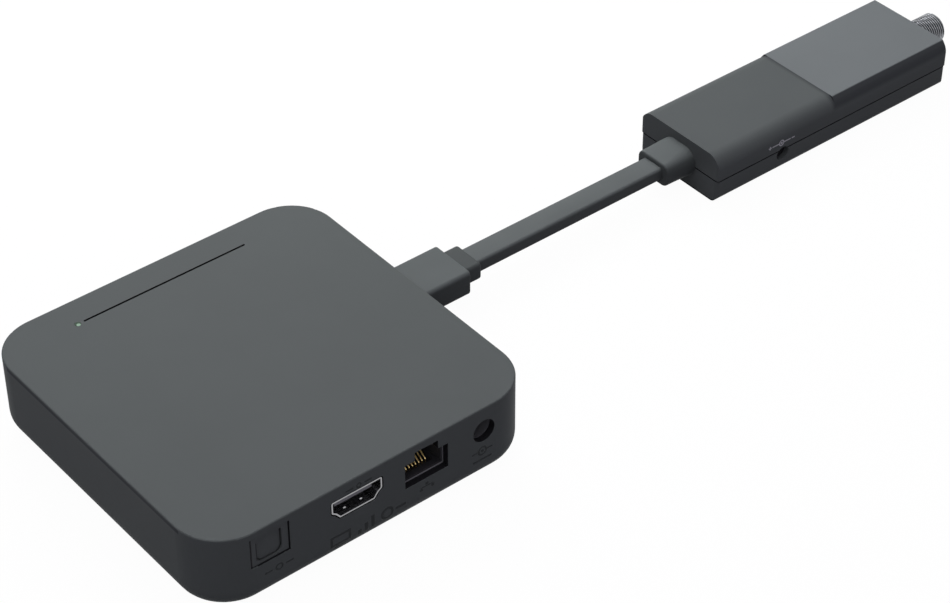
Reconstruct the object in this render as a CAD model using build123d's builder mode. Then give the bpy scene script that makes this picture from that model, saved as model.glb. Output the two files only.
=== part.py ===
from build123d import *
import os

os.makedirs("parts", exist_ok=True)

# Streaming box with a plug-in tuner stick, in millimetres.
# The origin is on the floor, under the middle of the box, and +Z is up.
# The sockets are on the +Y wall, the light line is near the -Y wall, and the tuner cable leaves the -X wall.

# Box housing
box_side = 100.0
box_corner_radius = 13.5
box_height = 23.2
wall = 2.0
top_edge_radius = 0.4
bottom_edge_radius = 5.4

# Underside of the box
foot_stand = 0.6
foot_ring_diameter = 68.0
foot_ring_width = 4.0
foot_ring_seat = 0.8
foot_edge_radius = 0.2
cover_rim = 0.6
ledge_width = 1.6
ledge_thickness = 0.8
fit_gap = 0.15
vent_slot_length = 12.0
vent_slot_width = 1.6
vent_pitch = 3.6
vent_count = 9
vent_row_gap = 8.0

# Case screws and their bosses
boss_diameter = 7.0
case_screw_diameter = 2.6
case_screw_head = 5.0
case_screw_length = 8.0
case_screw_inset = 12.0
rear_screw_inset = 24.0
screw_gap = 0.1
recess_width = 0.6
recess_share = 0.55

# Main board
board_thickness = 1.2
board_side_gap = 3.0
board_rear_gap = 1.5
board_boss_gap = 0.6
standoff_diameter = 6.0
board_screw_diameter = 2.4
board_screw_head = 4.4
board_screw_head_height = 1.5
board_screw_length = 5.0
board_screw_inset = 20.0
board_screw_front_inset = 25.0
board_screw_rear_inset = 31.0
seat_gap = 0.05

# Rear sockets: how far their row lies under the top, and how far the board lies under the row
socket_row_drop = 7.3
board_drop = 4.25
socket_gap = 0.25

# Screen socket
screen_x = 6.65
screen_width = 15.2
screen_height = 5.9
screen_side_height = 3.5
screen_shoulder_width = 12.8
screen_shoulder_drop = 0.85
screen_foot_width = 10.4
screen_metal = 0.4
screen_corner_radius = 0.55
screen_gap = 0.35
screen_setback = 0.15
screen_depth = 10.5
screen_tongue_width = 11.2
screen_tongue_thickness = 1.2
screen_tongue_rise = 0.35
screen_tongue_setback = 1.6
screen_block_depth = 2.4
screen_leg_width = 1.6
screen_contact_width = 0.3
screen_contact_thickness = 0.1
screen_contact_pitch = 1.0
screen_contact_count = 10
screen_finger_spacing = 5.0
screen_finger_setback = 2.1
screen_finger_radius = 0.6
screen_finger_rise = 0.35

# Network socket
lan_x = -14.6
lan_top_gap = 0.15
lan_opening_side = 0.85
lan_opening_drop = 1.1
lan_opening_key = 0.55
lan_opening_rise = 0.25
lan_mouth_width = 11.7
lan_mouth_height = 6.6
lan_mouth_depth = 14.0
lan_latch_width = 6.2
lan_latch_height = 2.4
lan_trough_width = 9.4
lan_trough_depth = 1.2
lan_trough_setback = 1.6
lan_shell_side = 1.95
lan_shell_top = 0.5
lan_shell_floor = 2.4
lan_shell_back = 4.0
lan_wing = 1.4
lan_wing_thickness = 1.0
lan_wire_count = 8
lan_wire_pitch = 1.02
lan_wire_diameter = 0.45
lan_wire_setback = 3.1
lan_wire_leg = 0.65
lan_wire_rise = 5.25
lan_wire_reach = 7.6
lan_wire_bend = 0.5

# Optical socket
optical_inset = 17.6
optical_top_gap = 0.3
optical_width = 11.0
optical_height = 9.0
optical_setback = 0.45
optical_flange_depth = 1.8
optical_depth = 16.0
optical_face_thickness = 0.5
optical_mouth_width = 7.3
optical_mouth_height = 7.4
optical_mouth_rise = 0.5
optical_mouth_radius = 2.0
optical_cavity_depth = 9.7
optical_cavity_margin = 0.3
optical_wall = 1.4
optical_nose_diameter = 3.2
optical_nose_length = 0.9
shutter_thickness = 0.9
shutter_margin = 0.25
shutter_gap = 0.1
shutter_pin_diameter = 0.7
shutter_pin_gap = 0.04
shutter_barrel_wall = 0.26
shutter_spring_wire = 0.2
shutter_spring_turns = 3
shutter_spring_pitch = 0.3
shutter_spring_gap = 0.1

# Power socket
dc_inset = 17.3
dc_drop = 0.2
dc_hole_diameter = 6.8
dc_bore_diameter = 6.2
dc_bore_depth = 10.0
dc_pin_diameter = 2.0
dc_pin_setback = 0.8
dc_pin_root_diameter = 2.6
dc_body_width = 9.0
dc_body_wall = 2.6
dc_spring_width = 2.2
dc_spring_thickness = 0.25
dc_spring_length = 7.0

# Side socket and the plug in it
cable_y = -12.95
side_mouth_width = 12.5
side_mouth_height = 5.12
side_metal = 0.4
side_setback = 0.4
side_block_depth = 2.4
side_tongue_width = 11.0
side_tongue_thickness = 1.65
side_tongue_rise = 0.15
side_tongue_setback = 2.4
side_contact_width = 1.0
side_contact_thickness = 0.1
side_contact_length = 7.5
side_contact_offsets = (-3.5, -1.0, 1.0, 3.5)
plug_width = 12.0
plug_height = 4.5
plug_metal = 0.3
plug_reach = 12.0
plug_embed = 6.0
plug_window = 2.4
plug_window_spacing = 6.0
plug_window_setback = 5.5
plug_tongue_thickness = 1.7
plug_face_gap = 0.4
overmould_width = 15.3
overmould_height = 7.8
overmould_radius = 1.2
overmould_length = 23.1
overmould_edge_radius = 0.6
neck_width = 10.8
neck_height = 5.5
neck_radius = 1.1
neck_length = 5.6
neck_edge_radius = 0.8

# Flat tuner cable and its boot
cable_width = 7.5
cable_thickness = 4.2
cable_edge_radius = 0.9
cable_length = 67.1
boot_length = 10.2
boot_width = 12.6
boot_height = 7.5
boot_radius = 2.6
boot_root_width = 13.4
boot_root_height = 9.2
boot_root_radius = 4.2
boot_neck_width = 10.0
boot_neck_height = 6.4
boot_neck_radius = 1.5
boot_flange_overhang = 1.4
boot_flange_thickness = 1.5

# Tuner stick
tuner_length = 93.1
tuner_width = 32.4
tuner_height = 15.6
tuner_seam = 7.65
tuner_wall = 1.6
tuner_top_radius = 4.5
tuner_corner_radius = 0.7
tuner_lower_corner_radius = 1.3
tuner_lower_taper = 0.7
tuner_lower_radius = 2.4
tuner_groove_height = 0.3
tuner_groove_depth = 0.3
panel_share = 0.5
panel_thickness = 1.2
panel_skin = 0.8
panel_edge_inset = 2.2
panel_side_rise = 5.3
tuner_board_thickness = 1.2
tuner_board_gap = 0.6
tuner_post = 0.8
tuner_post_diameter = 4.0
tuner_post_inset = 8.5
tuner_post_side_inset = 4.0

# Coaxial connector, a 3/8 inch barrel with 32 threads to the inch
coax_diameter = 9.52
coax_reach = 12.2
coax_pitch = 0.794
coax_thread_depth = 0.45
coax_crest = 0.2
coax_thread_turns = 13
coax_shoulder_diameter = 9.1
coax_bore = 7.2
coax_flange_diameter = 11.2
coax_flange_thickness = 1.5
coax_block_width = 9.6
coax_block_length = 7.0
coax_insulator_setback = 0.5
coax_contact_diameter = 1.9
coax_contact_bore = 1.1
coax_contact_setback = 0.4
coax_contact_depth = 8.0
coax_lead_thickness = 0.6

# Power hole of the tuner stick
tuner_power_x_inset = 25.7
tuner_power_rise = 2.4
tuner_power_hole = 4.6
tuner_power_bore = 3.8
tuner_power_depth = 8.0
tuner_power_body_width = 5.6
tuner_power_back = 2.0
tuner_power_pin_diameter = 1.3
tuner_power_pin_setback = 0.8
tuner_power_root_diameter = 1.9
tuner_power_spring_width = 1.2
tuner_power_spring_thickness = 0.15
tuner_power_spring_length = 4.5

# Light line on the top
line_length = 50.3
line_width = 0.5
line_depth = 0.4
line_inset = 9.2
light_pipe_diameter = 1.7
light_pipe_gap = 1.85
light_pipe_fit = 0.05
light_pipe_flange = 4.0
light_pipe_flange_thickness = 1.0
status_light_width = 1.6
status_light_height = 0.6

# Chips and their cooling
processor_width = 17.0
processor_height = 1.4
processor_x = 4.0
thermal_pad_width = 15.0
thermal_pad_thickness = 0.6
heat_sink_width = 38.0
heat_sink_base = 1.5
heat_sink_fin_height = 4.3
heat_sink_fin_thickness = 1.1
heat_sink_fin_count = 10
memory_chip_width = 8.0
memory_chip_length = 12.5
chip_height = 1.0
chip_row_gap = 4.0
chip_gap = 0.5
storage_chip_width = 11.5
storage_chip_length = 13.0
coil_width = 6.0
coil_height = 3.2
coil_pitch = 8.5
coil_count = 3
capacitor_diameter = 5.0
capacitor_height = 5.4
capacitor_base_height = 0.6
capacitor_pitch = 6.5
capacitor_count = 3
supply_share = 0.4
crystal_width = 2.5
crystal_length = 3.2
crystal_height = 0.8
transformer_width = 12.0
transformer_length = 9.0
transformer_height = 4.2
transformer_gap = 2.95
radio_width = 13.0
radio_length = 12.0
radio_height = 1.8
radio_screw_gap = 0.8
antenna_length = 16.0
antenna_height = 4.6
antenna_metal = 0.3
antenna_foot = 2.0
shield_length = 30.0
shield_width = 20.0
shield_height = 3.6
shield_metal = 0.3
bridge_chip_width = 7.0
demodulator_width = 8.0
tuner_coil_width = 3.0
tuner_coil_height = 1.8
tuner_coil_pitch = 4.6
tuner_coil_count = 3
tuner_coil_gap = 0.7
wire_count = 4
wire_diameter = 1.0
wire_pitch = 1.4
wire_bend = 2.0
wire_reach = 6.0

# Heights of the box, worked out from the housing down to the side socket
housing_bottom = foot_stand
housing_top = housing_bottom + box_height
half_side = box_side / 2
floor_top = housing_bottom + wall
ceiling = housing_top - wall
inner_half = half_side - wall
socket_row_z = housing_top - socket_row_drop
board_top = socket_row_z - board_drop
board_bottom = board_top - board_thickness
side_shell_width = side_mouth_width + 2 * side_metal
side_shell_height = side_mouth_height + 2 * side_metal
cable_z = board_bottom - side_shell_height / 2
optical_x = half_side - optical_inset
optical_top = ceiling - optical_top_gap
optical_bottom = optical_top - optical_height
optical_z = (optical_top + optical_bottom) / 2
dc_x = -half_side + dc_inset
dc_z = socket_row_z - dc_drop
screen_front_y = half_side - screen_setback

# Heights of the network socket, from the ceiling down
lan_body_top = ceiling - lan_top_gap
lan_latch_top = lan_body_top - lan_shell_top
lan_mouth_top = lan_latch_top - lan_latch_height
lan_mouth_bottom = lan_mouth_top - lan_mouth_height
lan_body_bottom = lan_mouth_bottom - lan_shell_floor

# Openings of the cover
opening_side = box_side - 2 * (bottom_edge_radius + cover_rim)
opening_corner_radius = box_corner_radius - bottom_edge_radius - cover_rim
ledge_side = opening_side - 2 * ledge_width
ledge_corner_radius = opening_corner_radius - ledge_width
cover_step = wall - ledge_thickness

# Fasteners
case_screw_x = half_side - case_screw_inset
case_screw_points = [
    (sign * case_screw_x, y)
    for sign in (-1, 1)
    for y in (-half_side + case_screw_inset, half_side - rear_screw_inset)
]
board_screw_points = [
    (sign * (half_side - board_screw_inset), y)
    for sign in (-1, 1)
    for y in (-half_side + board_screw_front_inset, half_side - board_screw_rear_inset)
]

# Light line
line_y = -half_side + line_inset
light_x = line_length / 2 + light_pipe_gap

# Distances along the cable, from the box wall outwards
plug_face_x = -half_side - plug_face_gap
overmould_end_x = plug_face_x - overmould_length
neck_end_x = overmould_end_x - neck_length
boot_free_x = neck_end_x - cable_length
tuner_near_x = boot_free_x - boot_length
tuner_far_x = tuner_near_x - tuner_length
plug_tip_x = plug_face_x + plug_reach
panel_start_x = tuner_near_x - tuner_length * (1 - panel_share)
coax_end_x = tuner_far_x - coax_reach
coax_z = tuner_height / 2
tuner_board_bottom = tuner_wall + tuner_post
tuner_board_top = tuner_board_bottom + tuner_board_thickness
tuner_cavity_top = tuner_height - panel_thickness - panel_skin
tuner_power_x = tuner_near_x - tuner_power_x_inset
tuner_power_z = tuner_board_top + tuner_power_rise

# Planes that look at the walls: X to the right and Z up, or Y to the right and Z up
rear_wall = Plane.XZ.offset(-half_side)


def across(x):
    """Return the plane across the X axis at x, with Y to the right and Z up."""
    return Plane.YZ.offset(x)


def screen_outline(grow):
    """Return the screen socket's outline, wide at the top and stepped in below, grown by a distance."""
    half_width = screen_width / 2
    half_height = screen_height / 2
    ledge_z = half_height - screen_side_height
    with BuildSketch() as outline:
        with BuildLine():
            Polyline(
                (0, half_height),
                (half_width, half_height),
                (half_width, ledge_z),
                (screen_shoulder_width / 2, ledge_z - screen_shoulder_drop),
                (screen_foot_width / 2, -half_height),
                (0, -half_height),
            )
            mirror(about=Plane.YZ)
        make_face()
        if grow:
            offset(amount=grow, kind=Kind.INTERSECTION, mode=Mode.REPLACE)
        corners = outline.vertices().filter_by(lambda corner: abs(corner.X) > screen_metal)
        fillet(corners, screen_corner_radius + grow)
    return outline.sketch


# Upper shell: a tub with four screw bosses, open below for the cover
with BuildPart() as box_cavity:
    with BuildSketch(Plane.XY.offset(floor_top)):
        RectangleRounded(2 * inner_half, 2 * inner_half, box_corner_radius - wall)
    extrude(amount=ceiling - floor_top)
    fillet(box_cavity.faces().sort_by(Axis.Z)[0].edges(), bottom_edge_radius - wall)

with BuildPart() as upper_shell:
    with BuildSketch(Plane.XY.offset(housing_bottom)):
        RectangleRounded(box_side, box_side, box_corner_radius)
    extrude(amount=box_height)
    fillet(upper_shell.faces().sort_by(Axis.Z)[0].edges(), bottom_edge_radius)
    fillet(upper_shell.faces().sort_by(Axis.Z)[-1].edges(), top_edge_radius)
    add(box_cavity.part, mode=Mode.SUBTRACT)
    with BuildSketch(Plane.XY.offset(housing_bottom)):
        RectangleRounded(opening_side, opening_side, opening_corner_radius)
    extrude(amount=cover_step, mode=Mode.SUBTRACT)
    with BuildSketch(Plane.XY.offset(housing_bottom + cover_step)):
        RectangleRounded(ledge_side, ledge_side, ledge_corner_radius)
    extrude(amount=ledge_thickness, mode=Mode.SUBTRACT)
    with BuildSketch(Plane.XY.offset(floor_top)):
        with Locations(*case_screw_points):
            Circle(boss_diameter / 2)
    extrude(amount=ceiling - floor_top)
    with BuildSketch(Plane.XY.offset(floor_top)):
        with Locations(*case_screw_points):
            Circle(case_screw_diameter / 2 + seat_gap)
    extrude(amount=case_screw_length, mode=Mode.SUBTRACT)
    # Socket openings in the rear wall
    with BuildSketch(rear_wall):
        with Locations((screen_x, socket_row_z)):
            add(screen_outline(screen_gap))
        with Locations((lan_x, lan_mouth_bottom - lan_opening_drop)):
            Rectangle(
                lan_mouth_width + 2 * lan_opening_side,
                lan_mouth_height + lan_opening_drop,
                align=(Align.CENTER, Align.MIN),
            )
            Rectangle(
                lan_latch_width + 2 * lan_opening_key,
                lan_latch_top + lan_opening_rise - lan_mouth_bottom + lan_opening_drop,
                align=(Align.CENTER, Align.MIN),
            )
        with Locations((optical_x, optical_z)):
            Rectangle(optical_width + 2 * socket_gap, optical_height + 2 * socket_gap)
        with Locations((dc_x, dc_z)):
            Circle(dc_hole_diameter / 2)
    extrude(amount=2 * wall, mode=Mode.SUBTRACT)
    # Side socket's opening in the -X wall
    with BuildSketch(across(-half_side)):
        with Locations((cable_y, cable_z)):
            RectangleRounded(
                side_shell_width + 2 * socket_gap, side_shell_height + 2 * socket_gap, side_metal + socket_gap
            )
    extrude(amount=2 * wall, mode=Mode.SUBTRACT)
    # Light line and the light pipe's hole
    with BuildSketch(Plane.XY.offset(housing_top)):
        with Locations((0, line_y)):
            SlotOverall(line_length, line_width)
    extrude(amount=-line_depth, mode=Mode.SUBTRACT)
    with BuildSketch(Plane.XY.offset(housing_top)):
        with Locations((light_x, line_y)):
            Circle(light_pipe_diameter / 2 + light_pipe_fit)
    extrude(amount=-wall, mode=Mode.SUBTRACT)
upper_shell.part.label = "upper_shell"
export_step(upper_shell.part, "parts/upper_shell.step")

# Bottom cover: a stepped plate with vents, a groove for the foot ring and standoffs for the board
cover_side = opening_side - 2 * fit_gap
cover_top_side = ledge_side - 2 * fit_gap
foot_ring_outer = (foot_ring_diameter + foot_ring_width) / 2
foot_ring_inner = (foot_ring_diameter - foot_ring_width) / 2
with BuildPart() as bottom_cover:
    with BuildSketch(Plane.XY.offset(housing_bottom)):
        RectangleRounded(cover_side, cover_side, opening_corner_radius - fit_gap)
    extrude(amount=cover_step)
    with BuildSketch(Plane.XY.offset(housing_bottom + cover_step)):
        RectangleRounded(cover_top_side, cover_top_side, ledge_corner_radius - fit_gap)
    extrude(amount=ledge_thickness)
    with BuildSketch(Plane.XY.offset(floor_top)):
        with Locations(*board_screw_points):
            Circle(standoff_diameter / 2)
    extrude(amount=board_bottom - floor_top)
    with BuildSketch(Plane.XY.offset(board_bottom)):
        with Locations(*board_screw_points):
            Circle(board_screw_diameter / 2 + seat_gap)
    extrude(amount=-board_screw_length, mode=Mode.SUBTRACT)
    with BuildSketch(Plane.XY.offset(housing_bottom)):
        Circle(foot_ring_outer + seat_gap)
        Circle(foot_ring_inner - seat_gap, mode=Mode.SUBTRACT)
    extrude(amount=foot_ring_seat, mode=Mode.SUBTRACT)
    with BuildSketch(Plane.XY.offset(housing_bottom)):
        with Locations(*case_screw_points):
            Circle(case_screw_head / 2 + screw_gap)
    extrude(amount=cover_step, mode=Mode.SUBTRACT)
    with BuildSketch(Plane.XY.offset(housing_bottom)):
        with Locations(*case_screw_points):
            Circle(case_screw_diameter / 2 + screw_gap)
        with GridLocations(vent_pitch, vent_slot_length + vent_row_gap, vent_count, 2):
            SlotOverall(vent_slot_length, vent_slot_width, rotation=90)
    extrude(amount=wall, mode=Mode.SUBTRACT)
bottom_cover.part.label = "bottom_cover"
export_step(bottom_cover.part, "parts/bottom_cover.step")

# Foot ring: rubber, seated in the cover's groove, and the one piece of the box that meets the floor
with BuildPart() as foot_ring:
    with BuildSketch():
        Circle(foot_ring_outer)
        Circle(foot_ring_inner, mode=Mode.SUBTRACT)
    extrude(amount=foot_stand + foot_ring_seat)
    fillet(foot_ring.faces().sort_by(Axis.Z)[0].edges(), foot_edge_radius)
foot_ring.part.label = "foot_ring"
export_step(foot_ring.part, "parts/foot_ring.step")

# Case screws: flat heads in the cover, shanks in the bosses
case_head_height = cover_step - screw_gap
with BuildPart() as case_screws:
    with BuildSketch(Plane.XY.offset(housing_bottom + screw_gap)):
        with Locations(*case_screw_points):
            Circle(case_screw_head / 2)
    extrude(amount=case_head_height)
    with BuildSketch(Plane.XY.offset(housing_bottom + cover_step)):
        with Locations(*case_screw_points):
            Circle(case_screw_diameter / 2)
    extrude(amount=ledge_thickness + case_screw_length - screw_gap)
    with BuildSketch(Plane.XY.offset(housing_bottom + screw_gap)):
        with Locations(*case_screw_points):
            Rectangle(recess_share * case_screw_head, recess_width)
            Rectangle(recess_width, recess_share * case_screw_head)
    extrude(amount=case_head_height / 2, mode=Mode.SUBTRACT)
case_screws.part.label = "case_screws"
export_step(case_screws.part, "parts/case_screws.step")

# Main board: fills the housing, with notches round the bosses and the sunk network socket
board_side = 2 * (inner_half - board_side_gap)
board_rear_y = inner_half - board_rear_gap
board_front_y = -inner_half + board_side_gap
lan_body_width = lan_mouth_width + 2 * lan_shell_side
lan_front_y = inner_half - seat_gap
lan_body_depth = lan_mouth_depth + lan_shell_back
with BuildPart() as main_board:
    with BuildSketch(Plane.XY.offset(board_bottom)):
        with Locations((0, (board_rear_y + board_front_y) / 2)):
            RectangleRounded(
                board_side, board_rear_y - board_front_y, box_corner_radius - wall - board_side_gap
            )
        with Locations(*case_screw_points):
            Circle(boss_diameter / 2 + board_boss_gap, mode=Mode.SUBTRACT)
        with Locations(*board_screw_points):
            Circle(board_screw_diameter / 2 + screw_gap, mode=Mode.SUBTRACT)
        with Locations((lan_x, lan_front_y - lan_body_depth / 2)):
            Rectangle(
                lan_body_width + 2 * seat_gap, lan_body_depth + 2 * seat_gap, mode=Mode.SUBTRACT
            )
    extrude(amount=board_thickness)
main_board.part.label = "main_board"
export_step(main_board.part, "parts/main_board.step")

# Board screws: pan heads on the board, shanks in the standoffs
with BuildPart() as board_screws:
    with BuildSketch(Plane.XY.offset(board_top)):
        with Locations(*board_screw_points):
            Circle(board_screw_head / 2)
    extrude(amount=board_screw_head_height)
    fillet(board_screws.faces().group_by(Axis.Z)[-1].edges(), board_screw_head_height / 3)
    with BuildSketch(Plane.XY.offset(board_top)):
        with Locations(*board_screw_points):
            Circle(board_screw_diameter / 2)
    extrude(amount=-board_screw_length)
    with BuildSketch(Plane.XY.offset(board_top + board_screw_head_height)):
        with Locations(*board_screw_points):
            Rectangle(recess_share * board_screw_head, recess_width)
            Rectangle(recess_width, recess_share * board_screw_head)
    extrude(amount=-board_screw_head_height / 2, mode=Mode.SUBTRACT)
board_screws.part.label = "board_screws"
export_step(board_screws.part, "parts/board_screws.step")

# Screen socket shell: a metal tube on four legs, with two spring bumps on its floor
screen_floor_z = socket_row_z - screen_height / 2 + screen_metal
with BuildPart() as screen_shell:
    with BuildSketch(Plane.XZ.offset(-screen_front_y)):
        with Locations((screen_x, socket_row_z)):
            add(screen_outline(0))
            add(screen_outline(-screen_metal), mode=Mode.SUBTRACT)
    extrude(amount=screen_depth)
    with Locations(
        *[
            (
                screen_x + sign * (screen_width - screen_metal) / 2,
                screen_front_y - share * screen_depth,
                (board_top + socket_row_z) / 2,
            )
            for sign in (-1, 1)
            for share in (0.45, 0.85)
        ]
    ):
        Box(screen_metal, screen_leg_width, socket_row_z - board_top)
    with Locations(
        *[
            (
                screen_x + sign * screen_finger_spacing / 2,
                screen_front_y - screen_finger_setback,
                screen_floor_z + screen_finger_rise - screen_finger_radius,
            )
            for sign in (-1, 1)
        ]
    ):
        Sphere(screen_finger_radius)
    # The bumps are pressed from the sheet, so nothing of them stands out below the floor
    bump_cut_z = screen_floor_z - screen_metal - screen_finger_radius
    with Locations((screen_x, screen_front_y - screen_finger_setback, bump_cut_z)):
        Box(screen_foot_width, 2 * screen_finger_radius, 2 * screen_finger_radius, mode=Mode.SUBTRACT)
screen_shell.part.label = "screen_shell"
export_step(screen_shell.part, "parts/screen_shell.step")

# Screen socket insulator: a tongue on a block that fills the shell's back and stands on the board
screen_tongue_z = socket_row_z + screen_tongue_rise
screen_back_y = screen_front_y - screen_depth
with BuildPart() as screen_insulator:
    with BuildSketch(Plane.XZ.offset(-screen_back_y)):
        with Locations((screen_x, socket_row_z)):
            add(screen_outline(-screen_metal - seat_gap))
    extrude(amount=-screen_block_depth)
    with Locations((screen_x, (screen_back_y + screen_front_y - screen_tongue_setback) / 2, screen_tongue_z)):
        Box(screen_tongue_width, screen_depth - screen_tongue_setback, screen_tongue_thickness)
    with Locations((screen_x, screen_back_y - screen_metal, board_top)):
        Box(
            screen_foot_width,
            2 * screen_metal,
            socket_row_z - board_top,
            align=(Align.CENTER, Align.CENTER, Align.MIN),
        )
screen_insulator.part.label = "screen_insulator"
export_step(screen_insulator.part, "parts/screen_insulator.step")

# Screen socket contacts: two rows of strips on the tongue, the lower row between the upper ones
screen_contact_length = screen_depth - screen_block_depth - 2 * screen_tongue_setback
screen_contact_y = screen_front_y - 1.5 * screen_tongue_setback - screen_contact_length / 2
with BuildPart() as screen_contacts:
    for side, count in ((1, screen_contact_count), (-1, screen_contact_count - 1)):
        contact_z = screen_tongue_z + side * (screen_tongue_thickness + screen_contact_thickness) / 2
        with Locations((screen_x, screen_contact_y, contact_z)):
            with GridLocations(screen_contact_pitch, screen_contact_pitch, count, 1):
                Box(screen_contact_width, screen_contact_length, screen_contact_thickness)
screen_contacts.part.label = "screen_contacts"
export_step(screen_contacts.part, "parts/screen_contacts.step")

# Network socket housing: sunk through the board, on two side wings, with a latch channel over its mouth
# and a trough in the mouth's floor for the ends of the wires
lan_front = Plane.XZ.offset(-lan_front_y)
lan_wing_front_y = board_rear_y - lan_wing
with BuildPart() as lan_housing:
    with BuildSketch(lan_front):
        with Locations((lan_x, (lan_body_top + lan_body_bottom) / 2)):
            Rectangle(lan_body_width, lan_body_top - lan_body_bottom)
    extrude(amount=lan_body_depth)
    with BuildSketch(Plane.XZ.offset(-lan_wing_front_y)):
        with Locations((lan_x, board_top + lan_wing_thickness / 2)):
            Rectangle(lan_body_width + 2 * lan_wing, lan_wing_thickness)
    extrude(amount=lan_body_depth / 2)
    with BuildSketch(lan_front):
        with Locations((lan_x, lan_mouth_bottom)):
            Rectangle(lan_mouth_width, lan_mouth_height, align=(Align.CENTER, Align.MIN))
        with Locations((lan_x, lan_mouth_top)):
            Rectangle(lan_latch_width, lan_latch_height, align=(Align.CENTER, Align.MIN))
    extrude(amount=lan_mouth_depth, mode=Mode.SUBTRACT)
    with BuildSketch(Plane.XZ.offset(-lan_front_y + lan_trough_setback)):
        with Locations((lan_x, lan_mouth_bottom)):
            Rectangle(lan_trough_width, lan_trough_depth, align=(Align.CENTER, Align.MAX))
    extrude(amount=lan_mouth_depth - lan_trough_setback, mode=Mode.SUBTRACT)
lan_housing.part.label = "lan_housing"
export_step(lan_housing.part, "parts/lan_housing.step")

# Network socket contacts: eight gold wires that come forward from the back, slope down and end in the trough
lan_wire_end = lan_mouth_bottom - lan_trough_depth + seat_gap
lan_wire_low = lan_wire_end + lan_wire_leg
lan_wire_top = lan_wire_low + lan_wire_rise
lan_wire_front = lan_front_y - lan_wire_setback
lan_wire_back = lan_front_y - lan_mouth_depth + seat_gap
with BuildPart() as lan_contacts:
    for index in range(lan_wire_count):
        wire_x = lan_x + (index - (lan_wire_count - 1) / 2) * lan_wire_pitch
        with BuildLine() as wire_path:
            FilletPolyline(
                (wire_x, lan_wire_back, lan_wire_top),
                (wire_x, lan_wire_front - lan_wire_reach, lan_wire_top),
                (wire_x, lan_wire_front, lan_wire_low),
                (wire_x, lan_wire_front, lan_wire_end),
                radius=lan_wire_bend,
            )
        with BuildSketch(Plane(origin=wire_path.line @ 0, z_dir=wire_path.line % 0)):
            Circle(lan_wire_diameter / 2)
        sweep(path=wire_path.line)
lan_contacts.part.label = "lan_contacts"
export_step(lan_contacts.part, "parts/lan_contacts.step")

# Optical socket housing: a square flange in the wall, a wide chamber for the door and a nose hole behind
optical_front_y = half_side - optical_setback
optical_back_y = optical_front_y - optical_depth
mouth_bottom = optical_bottom + optical_mouth_rise
mouth_top = mouth_bottom + optical_mouth_height
shutter_barrel_radius = shutter_pin_diameter / 2 + shutter_pin_gap + shutter_barrel_wall
shutter_axis_z = optical_top - shutter_barrel_radius - 3 * shutter_gap
shutter_axis_y = optical_front_y - optical_face_thickness - shutter_gap / 2 - shutter_barrel_radius
chamber_width = optical_mouth_width + 2 * optical_cavity_margin
chamber_bottom = mouth_bottom - optical_cavity_margin
chamber_top = shutter_axis_z + shutter_barrel_radius + shutter_gap / 2
chamber_front_y = optical_front_y - optical_face_thickness
chamber_back_y = optical_front_y - optical_cavity_depth
optical_body_width = chamber_width + 2 * optical_wall
nose_z = (chamber_bottom + mouth_top - shutter_thickness) / 2
spring_length = shutter_spring_turns * shutter_spring_pitch
spring_room = spring_length + shutter_spring_wire + shutter_spring_gap
spring_side_x = optical_x + chamber_width / 2
with BuildPart() as optical_housing:
    with BuildSketch(Plane.XZ.offset(-optical_front_y)):
        with Locations((optical_x, optical_z)):
            Rectangle(optical_width, optical_height)
    extrude(amount=optical_flange_depth)
    with BuildSketch(Plane.XZ.offset(-optical_front_y + optical_flange_depth)):
        with Locations((optical_x, (board_top + optical_top) / 2)):
            Rectangle(optical_body_width, optical_top - board_top)
    extrude(amount=optical_depth - optical_flange_depth)
    with BuildSketch(Plane.XZ.offset(-optical_front_y)):
        with Locations((optical_x, (mouth_bottom + mouth_top) / 2)):
            mouth = Rectangle(optical_mouth_width, optical_mouth_height)
        fillet(mouth.vertices().group_by(Axis.Y)[0], optical_mouth_radius)
    extrude(amount=optical_face_thickness, mode=Mode.SUBTRACT)
    with BuildSketch(Plane.XZ.offset(-chamber_front_y)):
        with Locations((optical_x, (chamber_bottom + chamber_top) / 2)):
            Rectangle(chamber_width, chamber_top - chamber_bottom)
    extrude(amount=chamber_front_y - chamber_back_y, mode=Mode.SUBTRACT)
    with BuildSketch(Plane.XZ.offset(-chamber_back_y)):
        with Locations((optical_x, nose_z)):
            Circle(optical_nose_diameter / 2 + seat_gap)
    extrude(amount=chamber_back_y - optical_back_y, mode=Mode.SUBTRACT)
    with BuildSketch(across(optical_x)):
        with Locations((shutter_axis_y, shutter_axis_z)):
            Circle(shutter_pin_diameter / 2 + shutter_pin_gap / 2)
    extrude(amount=optical_width, both=True, mode=Mode.SUBTRACT)
    # The spring's pocket in one side wall of the chamber
    with BuildSketch(across(spring_side_x)):
        with Locations((shutter_axis_y, shutter_axis_z)):
            Circle(shutter_barrel_radius + shutter_spring_gap)
    extrude(amount=spring_room, mode=Mode.SUBTRACT)
optical_housing.part.label = "optical_housing"
export_step(optical_housing.part, "parts/optical_housing.step")

# Light emitter: a block behind the housing with a round nose that looks into the chamber
with BuildPart() as optical_emitter:
    with BuildSketch(Plane.XZ.offset(-optical_back_y)):
        with Locations((optical_x, nose_z)):
            Circle(optical_nose_diameter / 2)
    extrude(amount=optical_back_y - chamber_back_y - optical_nose_length)
    with BuildSketch(Plane.XZ.offset(-optical_back_y)):
        with Locations((optical_x, (board_top + nose_z + optical_nose_diameter) / 2)):
            Rectangle(optical_body_width - optical_wall, nose_z + optical_nose_diameter - board_top)
    extrude(amount=optical_wall)
optical_emitter.part.label = "optical_emitter"
export_step(optical_emitter.part, "parts/optical_emitter.step")

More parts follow.
